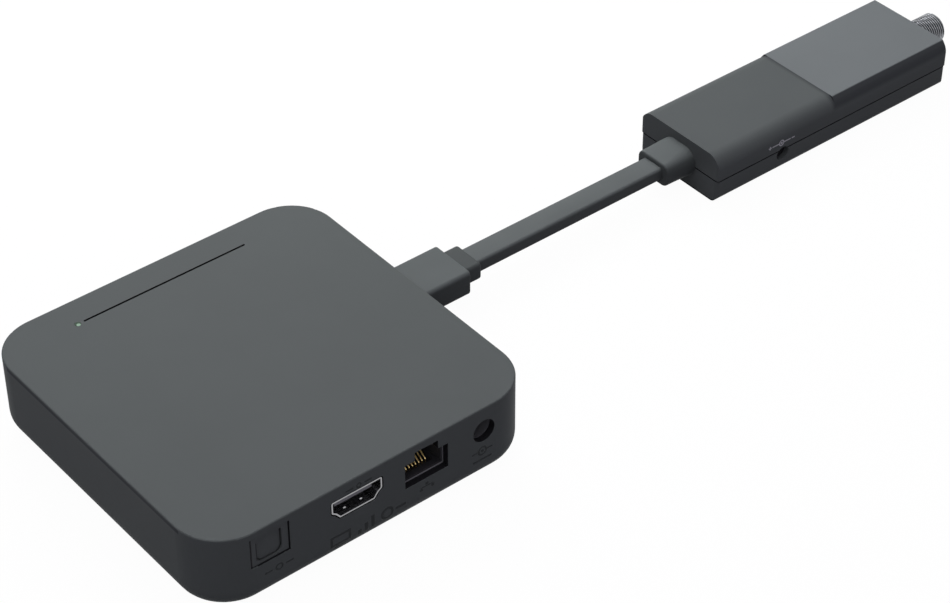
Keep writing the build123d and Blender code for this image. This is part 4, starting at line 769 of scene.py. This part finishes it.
INSERT = MouldedPlastic("insert_plastic", (0.32, 0.325, 0.335), 0.45, grain=3000.0, specular=0.1)
JACK = MouldedPlastic("jack_plastic", (0.115, 0.118, 0.125), 0.45, grain=3000.0, specular=0.1)
DULL_CONTACT = PlatedMetal("dull_contacts", (0.20, 0.20, 0.21), 0.4, tarnish=0.1)
OPTICAL = MouldedPlastic(
    "optical_plastic",
    (0.096, 0.106, 0.105),
    0.48,
    grain=3000.0,
    specular=0.04,
    zones=(OPTICAL_SIDE_SHADE, OPTICAL_LIP_SHADE),
)
WHITE = MouldedPlastic("plug_plastic", (0.70, 0.70, 0.67), 0.45, grain=2500.0, mottle=0.03)
GUIDE = ClearGuide("light_plastic", (0.21, 0.31, 0.23), 0.3, spot=(0.0270, -0.0404))
CHIP_LIGHT = ClearGuide(
    "light_chip",
    (0.70, 0.75, 0.60),
    0.4,
    spot=(0.0270, -0.0408),
    spot_radii=(0.0008, 0.0012),
    glow=(0.2, 0.8, 0.3),
)

NODE_FINISHES: dict[Finish, tuple[str, ...]] = {
    SHELL: ("upper_shell", "bottom_cover"),
    STICK: ("tuner_upper_shell", "tuner_lower_shell"),
    PANEL: ("tuner_top_panel",),
    FOOT: ("foot_ring",),
    PLUG: ("plug_overmould", "cable_boot"),
    SHEATH: ("tuner_cable",),
    SCREW: ("case_screws", "board_screws", "shutter_pin", "shutter_spring"),
    BOARD: ("main_board", "tuner_board"),
    RESIN: (
        "processor",
        "memory_chips",
        "storage_chip",
        "bridge_chip",
        "demodulator_chip",
        "network_transformer",
    ),
    SILICONE: ("thermal_pad",),
    SINK: ("heat_sink",),
    FERRITE: ("power_coils", "tuner_coils"),
    CAN: ("capacitors", "clock_crystal", "tuner_crystal", "radio_module"),
    SHEET: ("radio_antennas", "tuner_shield_can"),
    CHROME: ("screen_shell", "side_socket_shell", "plug_shell"),
    SOCKET: ("lan_housing", "side_socket_tongue", "tuner_power_housing", "optical_emitter"),
    INSERT: ("screen_insulator",),
    JACK: ("dc_jack_housing",),
    OPTICAL: ("optical_housing", "optical_shutter"),
    WHITE: ("plug_tongue", "coax_insulator"),
    DULL_CONTACT: ("screen_contacts",),
    GOLD: ("lan_contacts", "side_socket_contacts", "plug_contacts", "coax_contact"),
    PIN: ("dc_jack_pin", "dc_jack_spring", "tuner_power_pin", "tuner_power_spring"),
    COAX: ("coax_barrel",),
    GUIDE: ("light_pipe",),
    CHIP_LIGHT: ("status_light",),
    WIRE_SKIN: ("cable_wires",),
}


def dress_nodes() -> None:
    """Give every solid part of the frame its finish."""
    for finish, names in NODE_FINISHES.items():
        for name in names:
            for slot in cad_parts[name].material_slots:
                slot.material = finish.material()


# ---------- surfaces ----------


def rounded_section(
    half_width: np.ndarray, half_height: np.ndarray, radius: np.ndarray, steps: int
) -> np.ndarray:
    """Work out rounded rectangles, one per station.

    Each corner is a quarter circle about its own centre, which lies a radius in from both sides:
    point = corner centre + radius * (cos t, sin t).

    Args:
        half_width: Half widths, one per station.
        half_height: Half heights, one per station.
        radius: Corner radii, one per station.
        steps: Points on each corner.

    Returns:
        An array of stations x points x 2, anticlockwise.
    """
    quarter = np.linspace(0.0, math.pi / 2, steps)
    angle = (quarter[None, :] + np.arange(4)[:, None] * math.pi / 2).ravel()
    corner_y = np.repeat([1.0, -1.0, -1.0, 1.0], steps)
    corner_z = np.repeat([1.0, 1.0, -1.0, -1.0], steps)
    y = (half_width - radius)[:, None] * corner_y + radius[:, None] * np.cos(angle)
    z = (half_height - radius)[:, None] * corner_z + radius[:, None] * np.sin(angle)
    return np.stack([y, z], axis=-1)


def ring_faces(rows: int, columns: int) -> np.ndarray:
    """Return the quads between rings of points.

    Args:
        rows: How many rings there are.
        columns: Points on each ring, which closes on itself.

    Returns:
        An array of quads x 4 indices.
    """
    row = np.arange(rows - 1)[:, None]
    column = np.arange(columns)[None, :]
    following = (column + 1) % columns
    quads = [row * columns + column, row * columns + following]
    quads += [(row + 1) * columns + following, (row + 1) * columns + column]
    return np.stack([quad.ravel() for quad in quads], axis=-1)


def is_outward(points: np.ndarray, faces: Sequence[Sequence[int]]) -> bool:
    """Tell whether a closed surface's faces point outwards.

    Its volume, a sixth of the sum of a . (b x c) over its triangles, then comes out positive.

    Args:
        points: The points, one per row.
        faces: Faces as lists of indices.

    Returns:
        Whether the volume is positive.
    """
    centred = points - points.mean(axis=0)
    volume = 0.0
    for size in {len(face) for face in faces}:
        corners = centred[np.array([face for face in faces if len(face) == size])]
        volume += float((np.cross(corners[:, 1:-1], corners[:, 2:]) * corners[:, :1]).sum())
    return volume > 0


def mesh_piece(
    name: str,
    points: np.ndarray,
    finish: Finish,
    body: Body,
    faces: Sequence[Sequence[int]],
    sharp: float = 35.0,
) -> bpy.types.Object:
    """Put points and faces in a mesh object that rides on a body, with its faces turned outwards.

    Args:
        name: The piece's name.
        points: The points in metres, in the frame that all pieces share.
        finish: Its finish.
        body: The body that it rides on.
        faces: Faces as lists of indices.
        sharp: The angle in degrees past which an edge stays sharp.

    Returns:
        The finished object.
    """
    flat = points.reshape(-1, 3)
    step = 1 if is_outward(flat, faces) else -1
    ordered = [tuple(face)[::step] for face in faces]
    mesh = bpy.data.meshes.new(name)
    mesh.from_pydata(flat.tolist(), [], ordered)
    mesh.polygons.foreach_set("use_smooth", np.ones(len(ordered), dtype=bool))
    mesh.set_sharp_from_angle(angle=math.radians(sharp))
    mesh.materials.append(finish.material())
    mesh.update()
    piece = bpy.data.objects.new(name, mesh)
    bpy.context.scene.collection.objects.link(piece)
    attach(piece, body.value)
    return piece


def tube_faces(rows: int, columns: int) -> list[list[int]]:
    """Return the faces of a closed tube with a flat face at each end.

    Args:
        rows: How many rings there are.
        columns: Points on each ring.

    Returns:
        The quads between the rings, then the two end faces.
    """
    quads = ring_faces(rows, columns).tolist()
    first = list(range(columns))
    last = list(range((rows - 1) * columns, rows * columns))
    return quads + [first[::-1], last]


def rounded_rows(
    x: np.ndarray, sizes: Sequence[np.ndarray], y: float, z: float, steps: int
) -> np.ndarray:
    """Return rings of points round an axis along X: each is a rounded rectangle at its station.

    Args:
        x: The stations.
        sizes: Half widths, half heights and corner radii, one per station.
        y: The axis's place along Y.
        z: The axis's height.
        steps: Points on each corner.

    Returns:
        An array of stations x points x 3.
    """
    section = rounded_section(*sizes, steps)
    points = np.empty(section.shape[:2] + (3,))
    points[..., 0] = x[:, None]
    points[..., 1] = y + section[..., 0]
    points[..., 2] = z + section[..., 1]
    return points


def ease_ends(length: float, first: float, last: float, steps: int) -> tuple[np.ndarray, np.ndarray]:
    """Work out stations along a piece whose two end edges are rounded.

    A rounded end is a quarter circle: at angle t the station lies r (1 - cos t) from the end
    and the outline is drawn in by r (1 - sin t).

    Args:
        length: The piece's length.
        first: The first end's edge radius.
        last: The last end's edge radius.
        steps: Stations on each rounded end.

    Returns:
        The stations from 0 to length, and how far the outline is drawn in at each.
    """
    angle = np.linspace(0.0, math.pi / 2, steps)
    start = first * (1.0 - np.cos(angle))
    finish = length - last * (1.0 - np.cos(angle[::-1]))
    inset = np.concatenate([first * (1.0 - np.sin(angle)), last * (1.0 - np.sin(angle[::-1]))])
    return np.concatenate([start, finish]), inset


# ---------- sub-assemblies ----------


@dataclass
class CableLine:
    """Where the cable's parts lie along X, and their shared axis, in millimetres."""

    y: float = -12.95
    z: float = 8.09
    plug_face_x: float = -50.4
    plug_length: float = 23.1
    neck_length: float = 5.6
    cable_length: float = 67.1
    boot_length: float = 10.2

    @property
    def plug_end_x(self) -> float:
        """Return where the plug's grip ends."""
        return self.plug_face_x - self.plug_length

    @property
    def neck_end_x(self) -> float:
        """Return where the cable leaves the plug's neck."""
        return self.plug_end_x - self.neck_length

    @property
    def boot_free_x(self) -> float:
        """Return where the cable leaves the boot."""
        return self.neck_end_x - self.cable_length


@dataclass
class FlatCable:
    """The flat cable between the boot and the plug: a rounded rectangle carried along its line."""

    line: CableLine
    width: float = 7.5
    thickness: float = 4.2
    edge_radius: float = 0.9
    route_points: int = 5
    corner_steps: int = 6
    spline_order: int = 3
    spline_steps: int = 12

    def route(self) -> np.ndarray:
        """Read the points of the route's smooth line from its NURBS spline.

        The photograph shows the cable as one straight stretch, so all its control points lie on it.

        Returns:
            The points in metres, one per row.
        """
        x = np.linspace(self.line.boot_free_x, self.line.neck_end_x, self.route_points)
        places = np.stack([x, np.full_like(x, self.line.y), np.full_like(x, self.line.z)], axis=-1) * MM
        curve = bpy.data.curves.new("cable_route", "CURVE")
        curve.dimensions = "3D"
        spline = curve.splines.new("NURBS")
        spline.points.add(len(places) - 1)
        spline.points.foreach_set("co", np.column_stack([places, np.ones(len(places))]).ravel())
        spline.order_u = self.spline_order
        spline.use_endpoint_u = True
        spline.resolution_u = self.spline_steps
        holder = bpy.data.objects.new("cable_route", curve)
        bare = bpy.data.meshes.new_from_object(holder)
        points = np.empty(len(bare.vertices) * 3)
        bare.vertices.foreach_get("co", points)
        bpy.data.objects.remove(holder)
        bpy.data.curves.remove(curve)
        bpy.data.meshes.remove(bare)
        return points.reshape(-1, 3)

    def build(self, on_cable: Sequence[Union[str, bpy.types.Object]]) -> bpy.types.Object:
        """Each point is route point + y * across + z * up, for the section's (y, z).

        Args:
            on_cable: The separate pieces on the cable; not used.

        Returns:
            The cable.
        """
        path = self.route()
        rows = len(path)
        sizes = (np.full(rows, size) for size in (self.width / 2, self.thickness / 2, self.edge_radius))
        section = rounded_section(*sizes, self.corner_steps)
        across = np.array([0.0, 1.0, 0.0])
        up = np.array([0.0, 0.0, 1.0])
        points = path[:, None, :] + MM * (section[..., :1] * across + section[..., 1:] * up)
        faces = tube_faces(rows, section.shape[1])
        cable = mesh_piece("flat_cable", points, SHEATH, Body.TUNER, faces)
        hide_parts("tuner_cable")
        return cable


@dataclass
class PlugGrip:
    """The plug's moulded grip and its neck, two rounded blocks with soft end edges."""

    line: CableLine
    grip: Point = (15.3, 7.8, 1.2)
    neck: Point = (10.8, 5.5, 1.1)
    grip_edge: float = 0.6
    neck_edge: float = 0.8
    pocket: Point = (12.1, 4.6, 0.3)
    pocket_depth: float = 4.0
    least_radius: float = 0.3
    corner_steps: int = 9
    end_steps: int = 6

    def outline(self) -> tuple[np.ndarray, list[np.ndarray]]:
        """Work out the outline from the pocket's floor, over the face, to the neck's end.

        A size is the grip's, or the neck's past the grip's end, less what the rounded ends draw in.

        Returns:
            The stations, and the half widths, half heights and corner radii there.
        """
        along, inset = ease_ends(self.line.plug_length, self.grip_edge, self.grip_edge, self.end_steps)
        neck_along, neck_inset = ease_ends(self.line.neck_length, 0.0, self.neck_edge, self.end_steps)
        first = np.argmax(neck_along > 0.0) - 1
        neck_along, neck_inset = neck_along[first:], neck_inset[first:]
        station = np.concatenate([[self.pocket_depth, 0.0], along, self.line.plug_length + neck_along])
        drawn = np.concatenate([inset, neck_inset])
        is_neck = np.arange(len(drawn)) >= len(along)
        width, height, radius = (np.where(is_neck, neck, grip) for neck, grip in zip(self.neck, self.grip))
        skin = (width / 2 - drawn, height / 2 - drawn, np.maximum(radius - drawn, self.least_radius))
        pocket = (self.pocket[0] / 2, self.pocket[1] / 2, self.pocket[2])
        return station, [np.concatenate([[mouth, mouth], size]) for mouth, size in zip(pocket, skin)]

    def build(self) -> bpy.types.Object:
        """Build the grip and its neck as one skin, open at the face round the metal shell.

        Returns:
            The grip.
        """
        station, sizes = self.outline()
        x = self.line.plug_face_x - station
        points = rounded_rows(x, sizes, self.line.y, self.line.z, self.corner_steps)
        faces = tube_faces(points.shape[0], points.shape[1])
        piece = mesh_piece("plug_grip", points * MM, PLUG, Body.TUNER, faces)
        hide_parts("plug_overmould")
        return piece


@dataclass
class CableBoot:
    """The boot at the stick: a block that swells along a curve, with a neck and a flange inside."""

    line: CableLine
    free: Point = (12.6, 7.5, 2.6)
    root: Point = (13.4, 9.2, 4.2)
    neck: Point = (10.0, 6.4, 1.5)
    flange: Point = (12.8, 9.2, 1.5)
    neck_length: float = 1.5
    flange_length: float = 1.5
    free_edge: float = 0.5
    least_radius: float = 0.3
    corner_steps: int = 9
    end_steps: int = 5
    taper_steps: int = 12

    def build(self) -> bpy.types.Object:
        """Build the boot as one skin.

        Along the taper, with u from 0 at the free end to 1 at the stick, each size is
        free + (root - free) * u^2 * (3 - 2 u), drawn in by r (1 - sin t) on the rounded free edge.

        Returns:
            The boot.
        """
        length = self.line.boot_length
        angle = np.linspace(0.0, math.pi / 2, self.end_steps)
        edge = self.free_edge * (1.0 - np.cos(angle))
        station = np.concatenate([edge, np.linspace(self.free_edge, length, self.taper_steps)[1:]])
        drawn = np.concatenate([self.free_edge * (1.0 - np.sin(angle)), np.zeros(self.taper_steps - 1)])
        share = station / length
        swell = share**2 * (3.0 - 2.0 * share)
        neck_end = length + self.neck_length
        inner = [length, neck_end, neck_end, neck_end + self.flange_length]
        station = np.concatenate([station, inner])
        drawn = np.concatenate([drawn, np.zeros(len(inner))])
        width, height, radius = (
            np.concatenate([free + (root - free) * swell, [neck, neck, flange, flange]])
            for free, root, neck, flange in zip(self.free, self.root, self.neck, self.flange)
        )
        sizes = (width / 2 - drawn, height / 2 - drawn, np.maximum(radius - drawn, self.least_radius))
        x = self.line.boot_free_x - station
        points = rounded_rows(x, sizes, self.line.y, self.line.z, self.corner_steps)
        faces = tube_faces(points.shape[0], points.shape[1])
        piece = mesh_piece("boot_grip", points * MM, PLUG, Body.TUNER, faces)
        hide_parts("cable_boot")
        return piece


@dataclass
class ThreadedBarrel:
    """The coaxial barrel: a turned tube with a helical thread outside and a smooth bore."""

    y: float = -12.95
    z: float = 7.8
    tip_x: float = -261.7
    wall_x: float = -249.5
    flange_x: float = -247.9
    crest_radius: float = 4.76
    thread_depth: float = 0.45
    shoulder_radius: float = 4.55
    bore_radius: float = 3.6
    pitch: float = 0.794
    thread_length: float = 10.6
    fade_length: float = 0.5
    ridge_top: float = 0.85
    ridge_flank: float = 0.6
    rim: float = 0.25
    tip_inset: float = 0.15
    shoulder_gap: float = 0.05
    around: int = 96
    per_turn: int = 14
    bore_steps: int = 6
    lip_steps: int = 5

    def build(self) -> bpy.types.Object:
        """Build the barrel's visible part.

        A profile of (x, radius) turns about the axis. Outside, the radius rises from the root by
        depth * ridge(x / pitch - angle / turn), where ridge is a trapezium wave, faded at both ends.

        Returns:
            The barrel.
        """
        angle = np.linspace(0.0, 2 * math.pi, self.around, endpoint=False)
        root = self.crest_radius - self.thread_depth
        bore_x = np.linspace(self.flange_x, self.tip_x + self.rim, self.bore_steps)
        turn = np.linspace(0.0, math.pi / 2, self.lip_steps)
        lip_x = self.tip_x + self.rim * (1.0 - np.sin(turn))
        lip_radius = self.bore_radius + self.rim * (1.0 - np.cos(turn))
        rows = int(self.thread_length / self.pitch * self.per_turn)
        thread_x = self.tip_x + np.linspace(0.0, self.thread_length, rows)
        thread_end = self.tip_x + self.thread_length
        shoulder_x = np.array([thread_end + self.shoulder_gap, self.wall_x, self.flange_x])
        x = np.concatenate([bore_x, lip_x, [self.tip_x], thread_x, shoulder_x])
        base = np.concatenate(
            [
                np.full(len(bore_x), self.bore_radius),
                lip_radius,
                [root - self.tip_inset],
                np.full(rows, root),
                np.full(len(shoulder_x), self.shoulder_radius),
            ]
        )
        weight = np.zeros(len(x))
        first = len(bore_x) + len(lip_x) + 1
        travel = thread_x - self.tip_x
        to_end = self.thread_length - travel
        fade_in, fade_out = (np.clip(reach / self.fade_length, 0, 1) for reach in (travel, to_end))
        weight[first : first + rows] = fade_in * fade_out
        phase = (x[:, None] - self.tip_x) / self.pitch - angle[None, :] / (2 * math.pi)
        wave = np.abs(2.0 * (phase - np.floor(phase)) - 1.0)
        ridge = np.clip((self.ridge_top - wave) / self.ridge_flank, 0.0, 1.0)
        radius = base[:, None] + self.thread_depth * weight[:, None] * ridge
        points = np.empty(radius.shape + (3,))
        points[..., 0] = x[:, None]
        points[..., 1] = self.y + radius * np.cos(angle)
        points[..., 2] = self.z + radius * np.sin(angle)
        loop_rows = len(x) + 1
        faces = (ring_faces(loop_rows, self.around) % (len(x) * self.around)).tolist()
        piece = mesh_piece("coax_thread", points * MM, COAX, Body.TUNER, faces, sharp=40.0)
        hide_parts("coax_barrel")
        return piece


# ---------- camera, light and floor ----------

WHITE_LIGHT = (1.0, 1.0, 1.0, 1.0)


@dataclass(frozen=True)
class SoftLamp:
    """A square soft lamp: where it hangs and its side in metres, and its power in watts."""

    name: str
    place: Point
    size: float
    power: float


@dataclass
class Studio:
    """The photograph's camera, a white floor and soft overhead light, in metres and degrees."""

    focal_pixels: float = 2695.90
    frame_width: float = 950.0
    sensor_width: float = 36.0
    azimuth: float = 140.945
    elevation: float = 39.130
    roll: float = -0.186
    place: Point = (0.282525, 0.435113, 0.462443)
    clip_range: tuple[float, float] = (0.01, 20.0)
    floor_size: float = 6.0
    floor_drop: float = 0.0002
    floor_lit: Colour = (0.95, 0.95, 0.95)
    floor_dull: tuple[Colour, Colour] = ((0.165, 0.155, 0.195), (0.175, 0.165, 0.205))
    floor_glow: float = 0.97
    sky_colour: Colour = (0.93, 0.87, 1.0)
    aim: Point = (-0.1, 0.0, 0.0)
    lamps: tuple[SoftLamp, ...] = (
        SoftLamp("overhead", (0.02, 0.0, 1.3), 1.0, 4.9),
        SoftLamp("behind", (-0.20, -0.35, 0.32), 0.3, 1.6),
        SoftLamp("fill", (0.9, 1.0, 0.7), 0.8, 2.0),
    )

    def camera(self) -> None:
        """Place the camera: its back, right and up axes come from azimuth, elevation and roll."""
        turn, rise, roll = (math.radians(a) for a in (self.azimuth, self.elevation, self.roll))
        back = Vector((math.sin(turn) * math.cos(rise), -math.cos(turn) * math.cos(rise), math.sin(rise)))
        right = Vector((math.cos(turn), math.sin(turn), 0.0))
        up = back.cross(right)
        tilted_right = right * math.cos(roll) + up * math.sin(roll)
        tilted_up = up * math.cos(roll) - right * math.sin(roll)
        data = bpy.data.cameras.new("photo_camera")
        data.sensor_width = self.sensor_width
        data.sensor_fit = "HORIZONTAL"
        data.lens = self.sensor_width * self.focal_pixels / self.frame_width
        data.clip_start, data.clip_end = self.clip_range
        camera = bpy.data.objects.new("photo_camera", data)
        matrix = Matrix((tilted_right, tilted_up, back)).transposed().to_4x4()
        matrix.translation = Vector(self.place)
        camera.matrix_world = matrix
        bpy.context.scene.collection.objects.link(camera)
        bpy.context.scene.camera = camera

    def shows_white(self, graph: Graph) -> Wire:
        """Return 1 for the rays that see the background: from the camera, off gloss and through glass.

        Args:
            graph: The graph of the floor or the sky.

        Returns:
            The mask.
        """
        kind = "ShaderNodeLightPath"
        seen = graph.node(kind, outlet="Is Camera Ray").peak(graph.node(kind, outlet="Is Glossy Ray"))
        return seen.peak(graph.node(kind, outlet="Is Transmission Ray"))

    def floor(self) -> None:
        """Lay the floor: white to the camera and in reflections, grey to scattered light."""
        half = self.floor_size / 2
        outline = ((-half, -half), (half, -half), (half, half), (-half, half))
        corners = [(x, y, -self.floor_drop) for x, y in outline]
        mesh = bpy.data.meshes.new("floor")
        mesh.from_pydata(corners, [], [(0, 1, 2, 3)])
        made = bpy.data.materials.new("pale_floor")
        made.use_nodes = True
        graph = Graph(made.node_tree)
        seen = self.shows_white(graph)
        speck = graph.noise(graph.place(), 300.0, 2.0)
        dull = graph.mix(speck, *self.floor_dull)
        lit = graph.node("ShaderNodeBsdfDiffuse", None, {"Color": graph.mix(seen, dull, self.floor_lit)})
        white = graph.node("ShaderNodeEmission", None, {"Color": WHITE_LIGHT, "Strength": 1.0})
        shader = graph.node("ShaderNodeMixShader", None, {0: seen * self.floor_glow, 1: lit, 2: white})
        graph.node("ShaderNodeOutputMaterial", None, {"Surface": shader})
        mesh.materials.append(made)
        piece = bpy.data.objects.new("floor", mesh)
        bpy.context.scene.collection.objects.link(piece)

    def sky(self) -> None:
        """Set the world: white to the camera, and a soft sky, bright overhead and dim at the horizon."""
        world = bpy.data.worlds.new("studio_sky")
        bpy.context.scene.world = world
        world.use_nodes = True
        graph = Graph(world.node_tree)
        direction = graph.node("ShaderNodeTexCoord", outlet="Generated")
        lift = graph.along(direction, "Z").ramp(0.15, 0.9, 0.04, 0.6)
        soft_colour = graph.mix(lift, (0.0, 0.0, 0.0), self.sky_colour)
        soft = graph.node("ShaderNodeBackground", None, {"Color": soft_colour})
        white = graph.node("ShaderNodeBackground", None, {"Color": WHITE_LIGHT, "Strength": 1.0})
        shader = graph.node("ShaderNodeMixShader", None, {0: self.shows_white(graph), 1: soft, 2: white})
        graph.node("ShaderNodeOutputWorld", None, {"Surface": shader})

    def hang(self, lamp: SoftLamp) -> None:
        """Hang a lamp so that it faces the object.

        Args:
            lamp: The lamp.
        """
        data = bpy.data.lights.new(lamp.name, "AREA")
        data.shape = "SQUARE"
        data.size = lamp.size
        data.energy = lamp.power
        hung = bpy.data.objects.new(lamp.name, data)
        hung.location = Vector(lamp.place)
        hung.rotation_euler = (Vector(self.aim) - Vector(lamp.place)).to_track_quat("-Z", "Y").to_euler()
        bpy.context.scene.collection.objects.link(hung)

    def build(self) -> None:
        """Set up the camera, the floor, the sky and the lamps."""
        bpy.context.scene.view_settings.view_transform = "Standard"
        self.camera()
        self.floor()
        self.sky()
        for lamp in self.lamps:
            self.hang(lamp)


def main() -> None:
    """Build the scene in order: the studio, the solids' finishes, the plug, boot, cable and barrel."""
    logging.basicConfig(level=logging.INFO, format="%(message)s")
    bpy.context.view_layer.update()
    Studio().build()
    dress_nodes()
    line = CableLine()
    grip = PlugGrip(line).build()
    LOG.info("built %s", grip.name)
    boot = CableBoot(line).build()
    LOG.info("built %s", boot.name)
    plug_solids = [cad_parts[name] for name in ("plug_shell", "plug_tongue", "plug_contacts")]
    cable = FlatCable(line).build([grip, boot] + plug_solids)
    LOG.info("built %s", cable.name)
    barrel = ThreadedBarrel().build()
    LOG.info("built %s", barrel.name)


if __name__ == "__main__":
    main()
